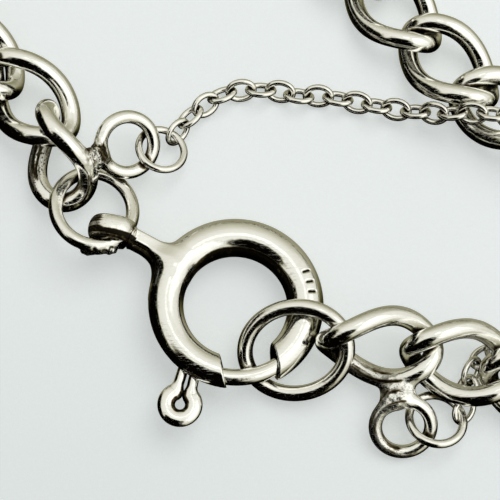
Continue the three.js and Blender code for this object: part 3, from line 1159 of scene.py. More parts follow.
@dataclass
class BoltRing:
    """The clasp's hollow ring with its gap, lever slot, neck and upright eye."""

    place: Place = CLASP_PLACE
    radius: float = 5.22
    tube: float = 2.7
    thicker: float = 0.1
    thick_angle: float = 80.0
    bore: float = 1.9
    bore_radius: float = 5.4
    gap_width: float = 3.84
    gap_angle: float = 281.5
    gap_lean: float = 0.13
    gap_half_angle: float = 21.0
    bore_from: float = 174.0
    bore_to: float = 311.0
    slot_from: float = 179.0
    slot_middle: float = -0.36
    slot_height: float = 1.12
    slot_inner: float = 5.65
    eye_middle: Triple = (-9.28, 5.3, 0.5)
    eye_heading: float = 170.5
    eye_half: tuple[float, float] = (1.4, 1.38)
    eye_power: float = 2.3
    eye_wire: float = 0.94
    eye_width: float = 1.79
    neck_foot: Triple = (-4.2, 3.2, 0.0)
    neck_head: Triple = (-7.9, 5.08, 0.34)
    neck_half: tuple[float, float] = (0.49, 0.82)
    neck_round: float = 0.15
    seam_at: float = 0.02
    seam_width: float = 0.07
    seam_depth: float = 0.1
    seam_fade: Fade = (1.1, 0.9)
    mark_angles: tuple[float, ...] = (23.5, 15.0, 7.0)
    mark_radius: float = 5.62
    mark_length: float = 0.42
    mark_width: float = 0.16
    mark_depth: float = 0.08
    # The share of a mark's width that is fully deep.
    mark_core: float = 0.4
    mark_fade: Fade = (0.6, 0.9)
    web_shift: tuple[float, float] = (-0.34, -0.45)
    web_half: tuple[float, float] = (0.5, 0.5)
    # How widely two solids that join run into one another.
    flare: float = 1.0
    flare_below: float = 0.95
    flare_fade: Fade = (1.0, -1.2)
    web_blend: float = 0.1
    eye_blend: float = 0.12
    # How widely the edges of the cuts are rounded.
    gap_edge: float = 0.1
    bore_edge: float = 0.08
    slot_edge: float = 0.05
    # The box round the clasp, and the size of the cells in which it is meshed.
    low: Triple = (-11.6, -7.0, -2.4)
    high: Triple = (7.0, 7.6, 3.0)
    cell: float = 0.082
    # Tarnish on the wall of the hole, with painted shade and dark reflection on its shaded side, where it
    # reaches further out and is darker.
    wall_angle: float = 62.0
    shade_fade: Fade = (-0.1, 0.6)
    wall_fade: Fade = (0.43, 0.49)
    wall_shift: tuple[float, float] = (0.32, 0.26)
    wall_top: Fade = (1.0, 0.7)
    shade_lift: float = 0.25
    open_share: float = 0.66
    # Painted shade, tarnish and pits on the eye.
    eye_low: Fade = (0.8, 0.3)
    eye_side: Fade = (0.22, 0.42)
    eye_far: Fade = (0.2, 1.2)
    eye_share: tuple[float, float] = (0.25, 0.3)
    eye_skin: Fade = (0.2, 0.1)
    band_skin: float = 0.15
    pit_far: Fade = (0.3, 1.6)
    pit_share: float = 0.45
    pit_skin: Fade = (0.3, 0.05)
    # Tarnish and painted shade below the neck's foot: across the neck, up, along the neck, and along the
    # ring's own Y.
    foot_across: Fade = (-0.42, -0.6)
    foot_up: Fade = (0.95, 0.7)
    foot_along: Fade = (-0.6, 0.1)
    foot_from: Fade = (0.6, 2.0)
    # Darkening round the lever's slot, painted shade in the bore, and the share of the general tarnish and
    # painted shade that shows.
    slot_up: Fade = (0.8, 0.55)
    slot_out: Fade = (6.3, 6.5)
    bore_fade: Fade = (0.1, 0.25)
    general_share: float = 0.9

    def ray(self, angle: float) -> Array:
        """The direction in the ring's plane at an angle."""
        return np.array([math.cos(angle * DEG), math.sin(angle * DEG), 0.0])

    def line(self) -> Array:
        """The tube's centre line from one side of its gap round to the other, in the bracelet's axes."""
        first, last = self.gap_angle + self.gap_half_angle, self.gap_angle + 360 - self.gap_half_angle
        turns = np.linspace(first, last, 200) * DEG
        return self.place.outwards(self.radius * columns(np.cos(turns), np.sin(turns), 0.0))

    def past(self, points: Array, angle: float) -> Array:
        """How far points lie beyond the half-plane through the ring's axis at an angle."""
        return points @ np.array([-math.sin(angle * DEG), math.cos(angle * DEG), 0.0])

    def ring_distance(self, points: Array, radius: float, thickness: float) -> Array:
        """The distance outside a ring of round section."""
        return np.hypot(np.hypot(points[:, 0], points[:, 1]) - radius, points[:, 2]) - thickness / 2

    def tube_distance(self, points: Array) -> Array:
        """The distance outside the tube, which is thickest opposite its gap and grows inwards there."""
        out = np.hypot(points[:, 0], points[:, 1])
        share = (points @ self.ray(self.thick_angle)) / np.maximum(out, TINY)
        extra = self.thicker * share
        return np.hypot(out - self.radius + extra, points[:, 2]) - self.tube / 2 - extra

    def eye_ways(self) -> tuple[Array, Array]:
        """The eye's two level directions: away from the ring, and across its band."""
        way = self.ray(self.eye_heading)
        return way, np.array([-way[1], way[0], 0.0])

    def eye(self, points: Array) -> Array:
        """The distance outside the upright eye, a broad band bent to an oval."""
        own = points - np.array(self.eye_middle)
        way, side = self.eye_ways()
        flat = columns(own @ way, own[:, 2])
        half = np.array(self.eye_half)
        share = np.abs(flat) / half
        power = self.eye_power
        near = np.maximum((share**power).sum(1) ** (1 / power), TINY)
        slope = share ** (power - 1) / half * near[:, None] ** (1 - power)
        off = (near - 1.0) / np.maximum(np.linalg.norm(slope, axis=1), TINY)
        across = own @ side
        section = np.hypot(off / (self.eye_wire / 2), across / (self.eye_width / 2))
        return (section - 1.0) * self.eye_wire / 2

    def neck_axes(self) -> Place:
        """The neck's head, and its directions: towards the ring, across and up."""
        head = np.array(self.neck_head)
        way = np.array(self.neck_foot) - head
        way /= np.linalg.norm(way)
        across = np.cross([0.0, 0.0, 1.0], way)
        across /= np.linalg.norm(across)
        return Place(head, np.stack([way, across, np.cross(way, across)], axis=1))

    def neck(self, points: Array) -> Array:
        """The distance outside the neck: a flat bar, and a wider web under its lower side."""
        own = self.neck_axes().inwards(points)
        bar = self.bar(own, (0.0, 0.0), self.neck_half)
        return melt(bar, self.bar(own, self.web_shift, self.web_half), self.web_blend)

    def bar(self, own: Array, shift: tuple[float, float], half: tuple[float, float]) -> Array:
        """The distance outside a bar with rounded edges that runs the neck's length."""
        length = np.linalg.norm(np.array(self.neck_foot) - np.array(self.neck_head))
        box = np.array([length / 2, *half]) - self.neck_round
        off = np.abs(own - np.array([length / 2, *shift])) - box
        outer = np.linalg.norm(np.maximum(off, 0.0), axis=1)
        return outer + np.minimum(off.max(1), 0.0) - self.neck_round

    def seam(self, points: Array) -> Array:
        """How near points are to the seam between the neck and the eye, from 0 to 1."""
        own = self.neck_axes().inwards(points)
        near = smooth_step(np.abs(own[:, 1]), *self.seam_fade)
        return near * np.exp(-((own[:, 0] - self.seam_at) / self.seam_width) ** 2)

    def solid(self, points: Array) -> Array:
        """The clasp's whole distance field, in the ring's own axes."""
        below = smooth_step(self.neck_axes().inwards(points)[:, 1], *self.flare_fade)
        flare = self.flare + self.flare_below * below
        body = melt(self.tube_distance(points), self.neck(points), flare)
        body = melt(body, self.eye(points), self.eye_blend) + self.seam(points) * self.seam_depth
        ahead = self.past(points, self.gap_angle)
        width = self.gap_width / 2 + self.gap_lean * points[:, 2]
        gap = np.maximum(np.abs(ahead) - width, -points @ self.ray(self.gap_angle))
        sector = np.maximum(-self.past(points, self.bore_from), self.past(points, self.bore_to))
        bore = np.maximum(self.ring_distance(points, self.bore_radius, self.bore), sector)
        body = carve(body, gap, self.gap_edge)
        body = carve(body, bore, self.bore_edge)
        inner = self.slot_inner - np.hypot(points[:, 0], points[:, 1])
        side = np.maximum(-self.past(points, self.slot_from), ahead)
        above = np.abs(points[:, 2] - self.slot_middle) - self.slot_height / 2
        lever_slot = np.maximum.reduce([above, inner, side])
        return carve(body, lever_slot, self.slot_edge) + self.marks(points) * self.mark_depth

    def marks(self, points: Array) -> Array:
        """How near points are to three plain punched marks, from 0 to 1."""
        out = np.hypot(points[:, 0], points[:, 1])
        found = np.zeros(len(points))
        for angle in self.mark_angles:
            along = self.past(points, angle)
            gap = np.hypot(np.maximum(np.abs(out - self.mark_radius) - self.mark_length / 2, 0.0), along)
            near = smooth_step(gap, self.mark_width, self.mark_core * self.mark_width)
            found = np.maximum(found, near * (points @ self.ray(angle) > 0))
        return found * smooth_step(points[:, 2], *self.mark_fade)

    def drawn(self, own: Array) -> Array:
        """Where points lie on the straightened tube, or on the straightened band of the eye."""
        out = np.hypot(own[:, 0], own[:, 1])
        turns = np.arctan2(own[:, 1], own[:, 0]) / (2 * np.pi) % 1.0
        tube = columns(turns * 2 * np.pi * self.radius * STREAK_SHARE, out - self.radius, own[:, 2])
        away = own - np.array(self.eye_middle)
        way, side = self.eye_ways()
        band = columns(away @ way * STREAK_SHARE, away @ side, own[:, 2] * STREAK_SHARE)
        return np.where((self.eye(own) < self.band_skin)[:, None], band, tube)

    def bore_shade(self, own: Array) -> Array:
        """The painted shade inside the tube's bore: how far inside it each vertex lies, from 0 to 1."""
        return smooth_step(-self.tube_distance(own), *self.bore_fade)

    def wall_tarnish_and_shade(self, own: Array) -> Array:
        """How dark the wall of the clasp's hole is painted, from 0 to 1: tarnish, with painted shade and
        dark reflection on its shaded side.
        """
        out = np.hypot(own[:, 0], own[:, 1])
        shade = smooth_step((own @ self.ray(self.wall_angle)) / np.maximum(out, TINY), *self.shade_fade)
        depth = (self.radius - out) / self.tube
        near, far = (end - shift * shade for end, shift in zip(self.wall_fade, self.wall_shift))
        below = smooth_step(own[:, 2] - self.shade_lift * shade, *self.wall_top)
        return smooth_step(depth, near, far) * below * (self.open_share * (1.0 - shade) + shade)

    def eye_tarnish_and_shade(self, own: Array) -> Array:
        """How dark the eye is painted: painted shade below and on one side, and tarnish all over, more of
        it away from the ring.
        """
        way, side = self.eye_ways()
        away = own - np.array(self.eye_middle)
        low = smooth_step(away[:, 2], *self.eye_low)
        least, more = self.eye_share
        far = smooth_step(away @ way, *self.eye_far) * more + least
        found = np.maximum.reduce([low, smooth_step(away @ side, *self.eye_side), far])
        return found * smooth_step(self.eye(own), *self.eye_skin)

    def foot_tarnish_and_shade(self, own: Array) -> Array:
        """How much painted shade and tarnish the ring has below the neck's foot, from 0 to 1."""
        beside = self.neck_axes().inwards(own)
        foot = smooth_step(beside[:, 1], *self.foot_across) * smooth_step(own[:, 2], *self.foot_up)
        return foot * smooth_step(beside[:, 0], *self.foot_along) * smooth_step(own[:, 1], *self.foot_from)

    def slot_darkening(self, own: Array) -> Array:
        """How much darker the tube is painted round the lever's slot, from 0 to 1."""
        out = np.hypot(own[:, 0], own[:, 1])
        slot = smooth_step(np.abs(own[:, 2] - self.slot_middle), *self.slot_up)
        slot = slot * smooth_step(out, *self.slot_out)
        return slot * (self.past(own, self.slot_from) > 0) * (self.past(own, self.gap_angle) < 0)

    def eye_pits(self, own: Array) -> Array:
        """How pitted the eye is, most of all away from the ring."""
        far = smooth_step((own - np.array(self.eye_middle)) @ self.ray(self.eye_heading), *self.pit_far)
        return smooth_step(self.eye(own), *self.pit_skin) * (self.pit_share + (1.0 - self.pit_share) * far)

    def build(self, dresser: Dresser) -> bpy.types.Object:
        """Makes the piece."""
        own, quads = Moulder(self.cell).mesh(self.solid, self.low, self.high)
        made = mesh_object("bolt_ring", self.place.outwards(own), quads)
        placed, normals = vertex_points(made.data), vertex_normals(made.data)
        # Tarnish and painted shade from the dresser, painted shade on the hole's wall, the eye, below the
        # neck and in the bore, the darkening round the slot, the seam and the marks.
        general = dresser.tarnish_and_shade(placed, normals, ["bolt_ring", "bolt"], self.place.middle)
        parts = [self.wall_tarnish_and_shade, self.eye_tarnish_and_shade, self.foot_tarnish_and_shade, self.slot_darkening]
        parts += [self.bore_shade, self.seam, self.marks]
        values = [general * self.general_share, *(part(own) for part in parts)]
        paint(made, "tarnish_and_shade", np.maximum.reduce(values))
        paint_drawn(made, self.drawn(own))
        return dresser.dress(made, Slot.BRIGHT, Body.BRACELET, ["clasp_body"], self.eye_pits(own))


@dataclass
class Bolt:
    """The sprung bolt: a curved wire in the tube, with its folded thumb lever."""

    place: Place = CLASP_PLACE
    ring_radius: float = 5.62
    wire: float = 1.24
    arc: tuple[float, float] = (226.0, 307.5)
    lever_angle: float = 237.5
    lever_lean: float = 18.0
    surface: float = 6.55
    reach: float = 1.3
    leg_offset: float = 0.465
    leg_half: float = 0.4
    bulge: float = 1.66
    bulge_at: float = 2.17
    hole: float = 0.36
    half_thickness: float = 0.44
    lever_sides: int = 20
    lever_drop: float = -0.36
    # How the bolt's two ends are rounded, from the tip inwards, as shares of its radius.
    end_taper: Triple = (0.35, 0.75, 0.95)
    # The lever's fold stays open by this angle to each side. The guide is where the legs bend towards it.
    open_angle: float = 38.0
    guide_share: float = 1.05
    widening: Fade = (0.6, 1.35)
    hole_fade: Fade = (0.4, 0.65)
    # How many points the lines have.
    bolt_points: int = 70
    fold_points: int = 61
    leg_points: int = 26

    def bolt_line(self) -> Array:
        """The bolt's centre line in the ring's own axes."""
        angles = np.linspace(*self.arc, self.bolt_points) * DEG
        return self.ring_radius * columns(np.cos(angles), np.sin(angles), 0.0)

    def lever_line(self) -> tuple[Array, Array]:
        """The folded wire's centre line in the lever's own axes, and half its width along it."""
        middle = (self.bulge + self.hole) / 2
        half = (self.bulge - self.hole) / 2
        last = 180.0 - self.open_angle
        angles = np.linspace(last, -last, self.fold_points) * DEG
        bend = columns(self.bulge_at + middle * np.cos(angles), middle * np.sin(angles), 0.0)
        share = np.linspace(0.0, 1.0, self.leg_points)
        start = np.array([-self.reach, self.leg_offset, 0.0])
        guide = np.array([self.bulge_at - middle * self.guide_share, self.leg_offset, 0.0])
        end = bend[0]
        leg = (1 - share)[:, None] ** 2 * start + (2 * share * (1 - share))[:, None] * guide
        leg = leg + share[:, None] ** 2 * end
        other = leg[::-1] * np.array([1.0, -1.0, 1.0])
        line = np.concatenate([leg[:-1], bend, other[1:]])
        width = self.leg_half + (half - self.leg_half) * smooth_step(line[:, 0], *self.widening)
        return line, width

    def build(self, dresser: Dresser) -> bpy.types.Object:
        """Makes the piece."""
        up = np.array([0.0, 0.0, 1.0])
        line = self.bolt_line()
        taper = np.full(len(line), self.wire / 2)
        taper[:3] *= self.end_taper
        taper[-3:] *= self.end_taper[::-1]
        wire, wire_quads = sweep(line, taper, taper, up)
        line, width = self.lever_line()
        high = np.full(len(line), self.half_thickness)
        lever, lever_quads = sweep(line, width, high, up, self.lever_sides)
        turns = np.tile(np.arange(self.lever_sides), len(line)) * 2 * np.pi / self.lever_sides
        hole = np.concatenate([np.zeros(len(wire)), smooth_step(np.cos(turns), *self.hole_fade)])
        lean = turn_about(2, self.lever_lean)
        lever = lever @ lean.T + np.array([self.surface, 0.0, self.lever_drop])
        lever = lever @ turn_about(2, self.lever_angle).T
        points = np.concatenate([wire, lever])
        quads = np.concatenate([wire_quads, lever_quads + len(wire)])
        made = mesh_object("bolt_and_lever", self.place.outwards(points), quads)
        close_ends(made)
        placed, normals = vertex_points(made.data), vertex_normals(made.data)
        # Tarnish and painted shade from the dresser, and the inner walls of the lever's fold, round its
        # hole, painted dark.
        values = dresser.tarnish_and_shade(placed, normals, ["bolt", "bolt_ring"], self.place.middle)
        paint(made, "tarnish_and_shade", np.maximum(values, hole))
        paint_drawn(made, points)
        return dresser.dress(made, Slot.BRIGHT, Body.BOLT, ["clasp_bolt"])


def close_ends(made: bpy.types.Object) -> None:
    """Closes the open ends of swept wire with flat faces, and turns every face outwards."""
    work = bmesh.new()
    work.from_mesh(made.data)
    bmesh.ops.holes_fill(work, edges=work.edges, sides=64)
    bmesh.ops.recalc_face_normals(work, faces=work.faces)
    work.to_mesh(made.data)
    work.free()


# ---- Rings --------------------------------------------------------------------------------------


@dataclass
class PlainRing:
    """A round or slightly oval ring of wire."""

    name: str
    node: str
    wire: Wire
    steps: int = 96
    sides: int = 22

    def build(self, dresser: Dresser, tree: bpy.types.NodeTree) -> bpy.types.Object:
        """Makes the piece."""
        points = self.wire.line(np.arange(self.steps) / self.steps)
        ends = (np.arange(self.steps) + 1) % self.steps
        source = seed_object(f"{self.name}_line", points, columns(np.arange(self.steps), ends))
        material = dresser.materials[Slot.WORN]
        inputs = {"Wire": self.wire.shape.wire * MM, "Sides": self.sides, "Material": material}
        made = grown(self.name, source, tree, inputs)
        placed, normals = vertex_points(made.data), vertex_normals(made.data)
        # Tarnish and painted shade: in corners, underneath and on the ring's inner side.
        paint(made, "tarnish_and_shade", dresser.tarnish_and_shade(placed, normals, [self.node], self.wire.place.middle))
        paint_drawn(made, self.wire.drawn(placed))
        return dresser.dress(made, Slot.WORN, Body.BRACELET, [self.node])


@dataclass
class SolderedRing:
    """The left jump ring, closed by a rough lump of solder."""

    name: str
    node: str
    wire: Wire
    lump_from: Triple
    lump_to: Triple
    lump_radius: float
    lump_taper: float = 0.3
    lump_blend: float = 0.35
    ripples: tuple[Ripple, ...] = (Ripple(0.42, 0.025, 5), Ripple(1.1, 0.028, 6))
    ripple_fade: Fade = (0.6, 0.1)
    pit_fade: Fade = (0.5, 0.1)
    pit_share: float = 0.55
    margin_low: float = 1.1
    margin_high: float = 0.9
    cell: float = 0.06

    def lump(self, points: Array) -> Array:
        """The distance outside the lump's smooth shape."""
        start, way = np.array(self.lump_from), np.array(self.lump_to) - np.array(self.lump_from)
        share = np.clip((points - start) @ way / (way @ way), 0.0, 1.0)
        radius = self.lump_radius * (1.0 - self.lump_taper * share)
        return np.linalg.norm(points - start - share[:, None] * way, axis=1) - radius

    def solid(self, points: Array) -> Array:
        """The ring's distance field, with the lump."""
        lump = self.lump(points)
        rough = sum(ripple.at(points) for ripple in self.ripples)
        joined = melt(self.wire.distance(points), lump, self.lump_blend)
        return joined + rough * smooth_step(lump, *self.ripple_fade)

    def build(self, dresser: Dresser) -> bpy.types.Object:
        """Makes the piece."""
        line = self.wire.points()
        low, high = line.min(0) - self.margin_low, line.max(0) + self.margin_high
        made = mesh_object(self.name, *Moulder(self.cell).mesh(self.solid, low, high))
        placed, normals = vertex_points(made.data), vertex_normals(made.data)
        # Tarnish and painted shade: in corners, underneath and on the ring's inner side.
        paint(made, "tarnish_and_shade", dresser.tarnish_and_shade(placed, normals, [self.node], self.wire.place.middle))
        paint_drawn(made, self.wire.drawn(placed))
        pits = smooth_step(self.lump(placed), *self.pit_fade) * self.pit_share
        return dresser.dress(made, Slot.WORN, Body.BRACELET, [self.node], pits)


@dataclass(frozen=True)
class SmallRings:
    """The rings that join the clasp, the two end links and the safety chain."""

    jump_right: Wire = Wire(Oval(3.85, 3.27, 1.18, 15.0), Place.sloping(4.43, -3.58, 2.4, 0.189, 0.41))
    jump_left: Wire = Wire(Oval(2.93, 3.27, 1.02), Place.sloping(-10.68, 7.16, 2.54, -0.252, -0.378))
    thin_right: Wire = Wire(Oval(2.03, 2.03, 0.64), Place.sloping(14.83, -8.56, 1.15, -0.104, -0.42))
    thin_left: Wire = Wire(Oval(1.78, 1.8, 0.56), Place.sloping(-5.72, 11.97, 1.81, -0.309, -0.314))
    soldered_right: Wire = Wire(Oval(2.05, 2.05, 1.0), Place.sloping(12.33, -9.09, 1.53, -0.007, 0.567))
    soldered_left: Wire = Wire(Oval(2.12, 2.12, 1.0), Place.sloping(-8.24, 12.05, 2.85, -0.484, 0.425))

    def all(self) -> dict[str, Wire]:
        """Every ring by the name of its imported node, or of its part of a soldered link."""
        return {
            "jump_ring_right": self.jump_right,
            "jump_ring_left": self.jump_left,
            "safety_ring_right": self.thin_right,
            "safety_ring_left": self.thin_left,
            "curb_link_01_ring": self.soldered_right,
            "curb_link_29_ring": self.soldered_left,
        }


# ---- Safety chain -------------------------------------------------------------------------------


@dataclass
class SafetyChain:
    """The fine safety chain of small round-wire links."""

    link: Oval = Oval(1.02, 0.74, 0.44)
    steps: int = 32
    sides: int = 12
    # Where each link lies, from the left ring to the right one: x, y, z and roll.
    laid: tuple[tuple[float, ...], ...] = (
        (-4.52, 13.58, 1.12, 55), (-3.56, 14.77, 1.13, -40), (-2.39, 15.76, 1.07, 42),
        (-1.12, 16.60, 0.93, -42), (0.35, 17.00, 0.88, 42), (1.89, 17.02, 0.89, -42),
        (3.41, 16.92, 0.85, 42), (4.84, 16.55, 0.84, -40), (6.37, 16.57, 0.82, 41),
        (7.88, 16.33, 0.86, -42), (9.36, 15.98, 1.00, 42), (10.85, 15.64, 1.16, -42),
        (12.33, 15.31, 1.33, 43), (13.78, 15.00, 1.73, -42), (15.12, 14.68, 2.40, 42),
        (16.44, 14.44, 3.12, -42), (17.85, 14.26, 3.70, 42), (19.27, 14.08, 4.14, -42),
        (20.67, 13.65, 4.34, 42), (21.90, 12.87, 4.42, -42), (22.91, 11.84, 4.33, 42),
        (23.72, 10.77, 3.79, -42), (24.44, 9.66, 3.20, 42), (24.95, 8.61, 2.30, -42),
        (25.30, 7.63, 1.34, 42), (25.58, 6.33, 0.87, -42), (25.30, 4.91, 0.80, 42),
        (25.01, 3.48, 0.73, -42), (24.53, 2.12, 0.74, 42), (23.91, 0.80, 0.80, -42),
        (23.13, -0.42, 0.79, 42), (22.22, -1.55, 0.81, -42), (21.14, -2.47, 0.70, 39),
        (19.80, -3.11, 0.61, -29), (18.58, -3.86, 0.63, 31), (17.59, -4.96, 0.86, -48),
        (17.30, -6.33, 0.67, 34), (17.00, -7.79, 0.60, -30),
    )
    # Where the line goes on past the last link, into the right ring.
    line_end: Triple = (16.3, -7.88, 0.87)
    # The painted darkening of the links: tarnish and painted shade where they touch, and painted shade
    # underneath.
    corner_fade: Fade = (0.4, 0.05)
    under_fade: Fade = (0.1, -0.7)
    under_share: float = 0.5

    def places(self) -> list[Place]:
        """Every link's place. Each points along the line between its neighbours."""
        line = np.array([*(row[:3] for row in self.laid), self.line_end])
        made = []
        for i, (*point, roll) in enumerate(self.laid):
            way = line[i + 1] - line[max(i - 1, 0)]
            heading = math.degrees(math.atan2(way[1], way[0]))
            pitch = math.degrees(math.atan2(way[2], math.hypot(way[0], way[1])))
            made.append(Place.turned(*point, heading, pitch, roll))
        return made

    def build(self, dresser: Dresser, tree: bpy.types.NodeTree) -> bpy.types.Object:
        """Makes the whole chain as one piece."""
        places = self.places()
        inputs = {
            "End Twist": 0.0,
            "Steps": self.steps,
            "Sides": self.sides,
            "Material": dresser.materials[Slot.WORN],
        }
        made = repeated_links("safety_chain_links", places, self.link, tree, inputs)
        placed, normals = vertex_points(made.data), vertex_normals(made.data)
        wires = [Wire(self.link, place) for place in places]
        values = np.zeros(len(placed))
        share = self.steps * self.sides
        for i, wire in enumerate(wires):
            own = slice(i * share, (i + 1) * share)
            near = [w for w in wires[max(0, i - 1) : i + 2] if w is not wire]
            gap = np.min([w.distance(placed[own]) for w in near], axis=0)
            # Tarnish and painted shade where a link touches its neighbours, and painted shade underneath.
            values[own] = smooth_step(gap, *self.corner_fade)
        under = smooth_step(normals[:, 2], *self.under_fade) * self.under_share
        paint(made, "tarnish_and_shade", np.maximum(values, under))
        return dresser.dress(made, Slot.WORN, Body.BRACELET, ["safety_chain"])


# ---- Studio -------------------------------------------------------------------------------------


@dataclass(frozen=True)
class Glow:
    """A bright or dark patch of the surroundings, seen in the metal."""

    azimuth: float
    zenith: float
    outer: float
    inner: float
    amount: float

    def direction(self) -> Triple:
        """The direction of the patch's middle."""
        zenith, azimuth = self.zenith * DEG, self.azimuth * DEG
        flat = math.sin(zenith)
        return (flat * math.cos(azimuth), flat * math.sin(azimuth), math.cos(zenith))

    def share(self, graph: Graph, way: object) -> Value:
        """How much of the patch shows in each direction, from 0 to 1."""
        edges = (math.cos(self.outer * DEG), math.cos(self.inner * DEG))
        return graph.along(way, self.direction()).step(*edges)


@dataclass(frozen=True)
class Studio:
    """The floor, the lights, the room that the metal reflects, and the camera."""

    floor_size: float = 600.0
    floor_height: float = -0.03
    floor_finish: CardFinish = CardFinish()
    target: Triple = (-10.22, -12.14, 1.5)
    camera_at: Triple = (-10.22, -35.01, 109.10)
    view_angle: float = 19.49
    # The nearest and the furthest that the camera sees, in metres.
    clip: tuple[float, float] = (0.01, 2.0)
    # The level of the even light on the floor.
    dome: float = 0.26
    key_power: float = 0.115
    key_azimuth: float = 50.0
    key_height: float = 62.0
    key_distance: float = 215.0
    key_size: float = 170.0
    # The reflected room: its levels, and how it falls off below the horizon, least of all to the north.
    zenith_level: float = 0.69
    horizon_level: float = 0.285
    rise_bend: float = 0.7
    below_fade: Fade = (0.05, -0.4)
    north_fade: Fade = (0.0, 0.6)
    north_share: float = 0.75
    dark: tuple[Glow, ...] = (
        Glow(243, 88, 48, 40, 1.0),
        Glow(247, 43, 34, 25, 1.0),
        Glow(176, 90, 44, 33, 1.0),
        Glow(85, 78, 46, 24, 0.18),
    )
    bright: tuple[Glow, ...] = (
        Glow(335, 50, 34, 24, 0.42),
        Glow(4, 36, 24, 15, 0.4),
        Glow(20, 62, 30, 14, 0.2),
        Glow(70, 12, 10, 6, 0.4),
    )
    # The reflected room's colour at each level, from 0 to 1.
    tones: tuple[tuple[float, Triple], ...] = (
        (0.0, (0.001, 0.0008, 0.0005)),
        (0.03, (0.012, 0.010, 0.004)),
        (0.07, (0.05, 0.044, 0.015)),
        (0.12, (0.11, 0.102, 0.046)),
        (0.2, (0.27, 0.26, 0.165)),
        (0.3, (0.55, 0.54, 0.43)),
        (0.45, (0.75, 0.743, 0.67)),
        (0.65, (0.86, 0.857, 0.80)),
        (0.82, (0.98, 0.977, 0.92)),
        (1.0, (1.18, 1.18, 1.13)),
    )

    def camera(self) -> None:
        """Makes the camera."""
        lens = bpy.data.cameras.new("camera")
        lens.angle = self.view_angle * DEG
        lens.clip_start, lens.clip_end = self.clip
        made = bpy.data.objects.new("camera", lens)
        made.location = Vector(self.camera_at) * MM
        way = Vector(self.target) - Vector(self.camera_at)
        made.rotation_euler = way.to_track_quat("-Z", "Y").to_euler()
        bpy.context.scene.collection.objects.link(made)
        bpy.context.scene.camera = made

    def floor(self) -> None:
        """Makes the pale surface under the bracelet. The metal reflects the room instead of it."""
        half = self.floor_size / 2
        corners = np.array([[-half, -half], [half, -half], [half, half], [-half, half]])
        points = columns(corners[:, 0], corners[:, 1], self.floor_height) + LOOP_CENTRE
        made = mesh_object("floor", points, np.array([[0, 1, 2, 3]]))
        made.data.materials.append(self.floor_finish.material())
        made.visible_glossy = False

    def key(self) -> None:
        """Makes the soft key light, which the metal doesn't reflect."""
        lamp = bpy.data.lights.new("key", "AREA")
        lamp.shape = "DISK"
        lamp.energy = self.key_power
        lamp.size = self.key_size * MM
        made = bpy.data.objects.new("key", lamp)
        rise, azimuth = self.key_height * DEG, self.key_azimuth * DEG
        flat = math.cos(rise)
        source = Vector((flat * math.cos(azimuth), flat * math.sin(azimuth), math.sin(rise)))
        made.location = (Vector(self.target) + source * self.key_distance) * MM
        made.rotation_euler = (-source).to_track_quat("-Z", "Y").to_euler()
        made.visible_glossy = False
        bpy.context.scene.collection.objects.link(made)

    def room_level(self, graph: Graph, way: object) -> Value:
        """How bright the reflected room is in each direction."""
        height = graph.along(way, (0.0, 0.0, 1.0))
        north = graph.along(way, (0.0, 1.0, 0.0))
        above = height.larger(0.0)
        rise = above * (above * self.rise_bend + (1.0 - self.rise_bend))
        level = rise * (self.zenith_level - self.horizon_level) + self.horizon_level
        for glow in self.dark:
            level = level * (1.0 - glow.share(graph, way) * glow.amount)
        for glow in self.bright:
            level = level + glow.share(graph, way) * glow.amount
        below = height.step(*self.below_fade)
        return level * (1.0 - below * (1.0 - north.step(*self.north_fade) * self.north_share))

    def room(self) -> None:
        """Makes the world: a plain pale dome for the floor, and a studio room for the metal."""
        world = bpy.data.worlds.new("room")
        world.use_nodes = True
        world.node_tree.nodes.clear()
        world.cycles.sampling_method = "NONE"
        graph = Graph(world.node_tree)
        way = graph.node("ShaderNodeTexCoord").outputs["Generated"]
        seen = graph.node("ShaderNodeValToRGB", {"stops": self.tones}, {"Fac": self.room_level(graph, way)})
        glossy = graph.node("ShaderNodeLightPath").outputs["Is Glossy Ray"]
        dome = (self.dome, self.dome, self.dome, 1.0)
        colour = graph.mix(glossy, dome, seen.outputs["Color"])
        back = graph.node("ShaderNodeBackground", {}, {"Color": colour, "Strength": 1.0})
        graph.node("ShaderNodeOutputWorld", {}, {"Surface": back.outputs[0]})
        bpy.context.scene.world = world

    def build(self) -> None:
        """Makes everything that isn't part of the bracelet."""
        self.camera()
        self.floor()
        self.key()
        self.room()
        bpy.context.scene.view_settings.view_transform = "Standard"


# ---- Assembly -----------------------------------------------------------------------------------


def surroundings_of(wires: dict[str, Wire], ring: BoltRing, bolt: Bolt) -> Surroundings:
    """Gathers every wire, the clasp's tube and its bolt."""
    found = Surroundings()
    for name, wire in wires.items():
        found.add(name, wire.points(), wire.radius)
    found.add("bolt_ring", ring.line(), ring.tube / 2)
    found.add("bolt", bolt.place.outwards(bolt.bolt_line()), bolt.wire / 2)
    return found


def report(piece: bpy.types.Object) -> None:
    """Logs a finished piece and how many triangles it has."""
    piece.data.calc_loop_triangles()
    LOG.info("%s: %d triangles", piece.name, len(piece.data.loop_triangles))


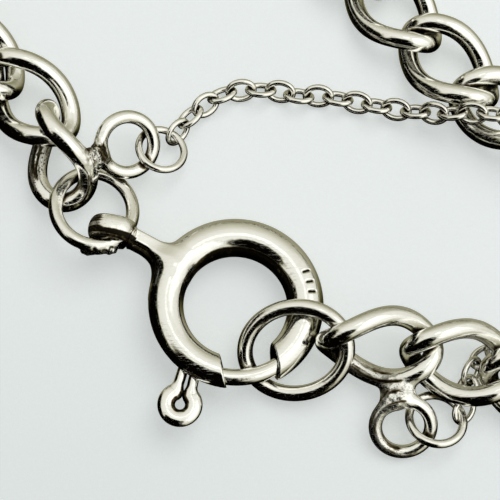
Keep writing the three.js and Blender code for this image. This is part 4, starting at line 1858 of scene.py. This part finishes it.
def main() -> None:
    """Builds the studio and every piece of the bracelet in order, and reports each piece."""
    logging.basicConfig(level=logging.INFO, format="%(message)s", stream=sys.stdout)
    Studio().build()
    finishes = {
        Slot.BRIGHT: SilverFinish("bright_silver").material(),
        Slot.WORN: SilverFinish("worn_silver", silver=(0.92, 0.91, 0.86), roughness=0.13).material(),
    }
    chain, small, ring, bolt = CurbChain(), SmallRings(), BoltRing(), Bolt()
    wires = chain.wires()
    dresser = Dresser(surroundings_of({**wires, **small.all()}, ring, bolt), finishes)
    chain_tree, wire_tree = ChainTree().build(), WireTree().build()
    right_link = SolderedLink(
        name="link_with_ring_right",
        node="curb_link_01",
        link=wires["curb_link_01"],
        ring=small.soldered_right,
        bead=(11.75, -6.85, 2.1),
        bead_radius=0.7,
        web=1.25,
        pit_middle=(11.8, -6.8, 2.4),
        pit_reach=1.9,
        seed=21,
        worn_arm=(-1.2, 0.7),
    )
    left_link = SolderedLink(
        name="link_with_ring_left",
        node="curb_link_29",
        link=wires["curb_link_29"],
        ring=small.soldered_left,
        bead=(-10.3, 10.95, 3.85),
        bead_radius=0.62,
        web=0.8,
        pit_middle=(-10.4, 11.0, 4.2),
        pit_reach=1.7,
        seed=22,
        worn_arm=(-1.0, 1.0),
    )
    right_ring = PlainRing("jump_ring_right_wire", "jump_ring_right", small.jump_right)
    left_ring = SolderedRing(
        name="jump_ring_left_wire",
        node="jump_ring_left",
        wire=small.jump_left,
        lump_from=(-11.0, 4.04, 3.1),
        lump_to=(-9.3, 3.98, 3.0),
        lump_radius=0.62,
    )
    right_end = PlainRing("safety_ring_right_wire", "safety_ring_right", small.thin_right, sides=14)
    left_end = PlainRing("safety_ring_left_wire", "safety_ring_left", small.thin_left, sides=14)
    report(chain.build(dresser, chain_tree))
    report(right_link.build(dresser))
    report(left_link.build(dresser))
    report(ring.build(dresser))
    report(bolt.build(dresser))
    report(right_ring.build(dresser, wire_tree))
    report(left_ring.build(dresser))
    report(right_end.build(dresser, wire_tree))
    report(left_end.build(dresser, wire_tree))
    report(SafetyChain().build(dresser, chain_tree))


if __name__ == "__main__":
    main()
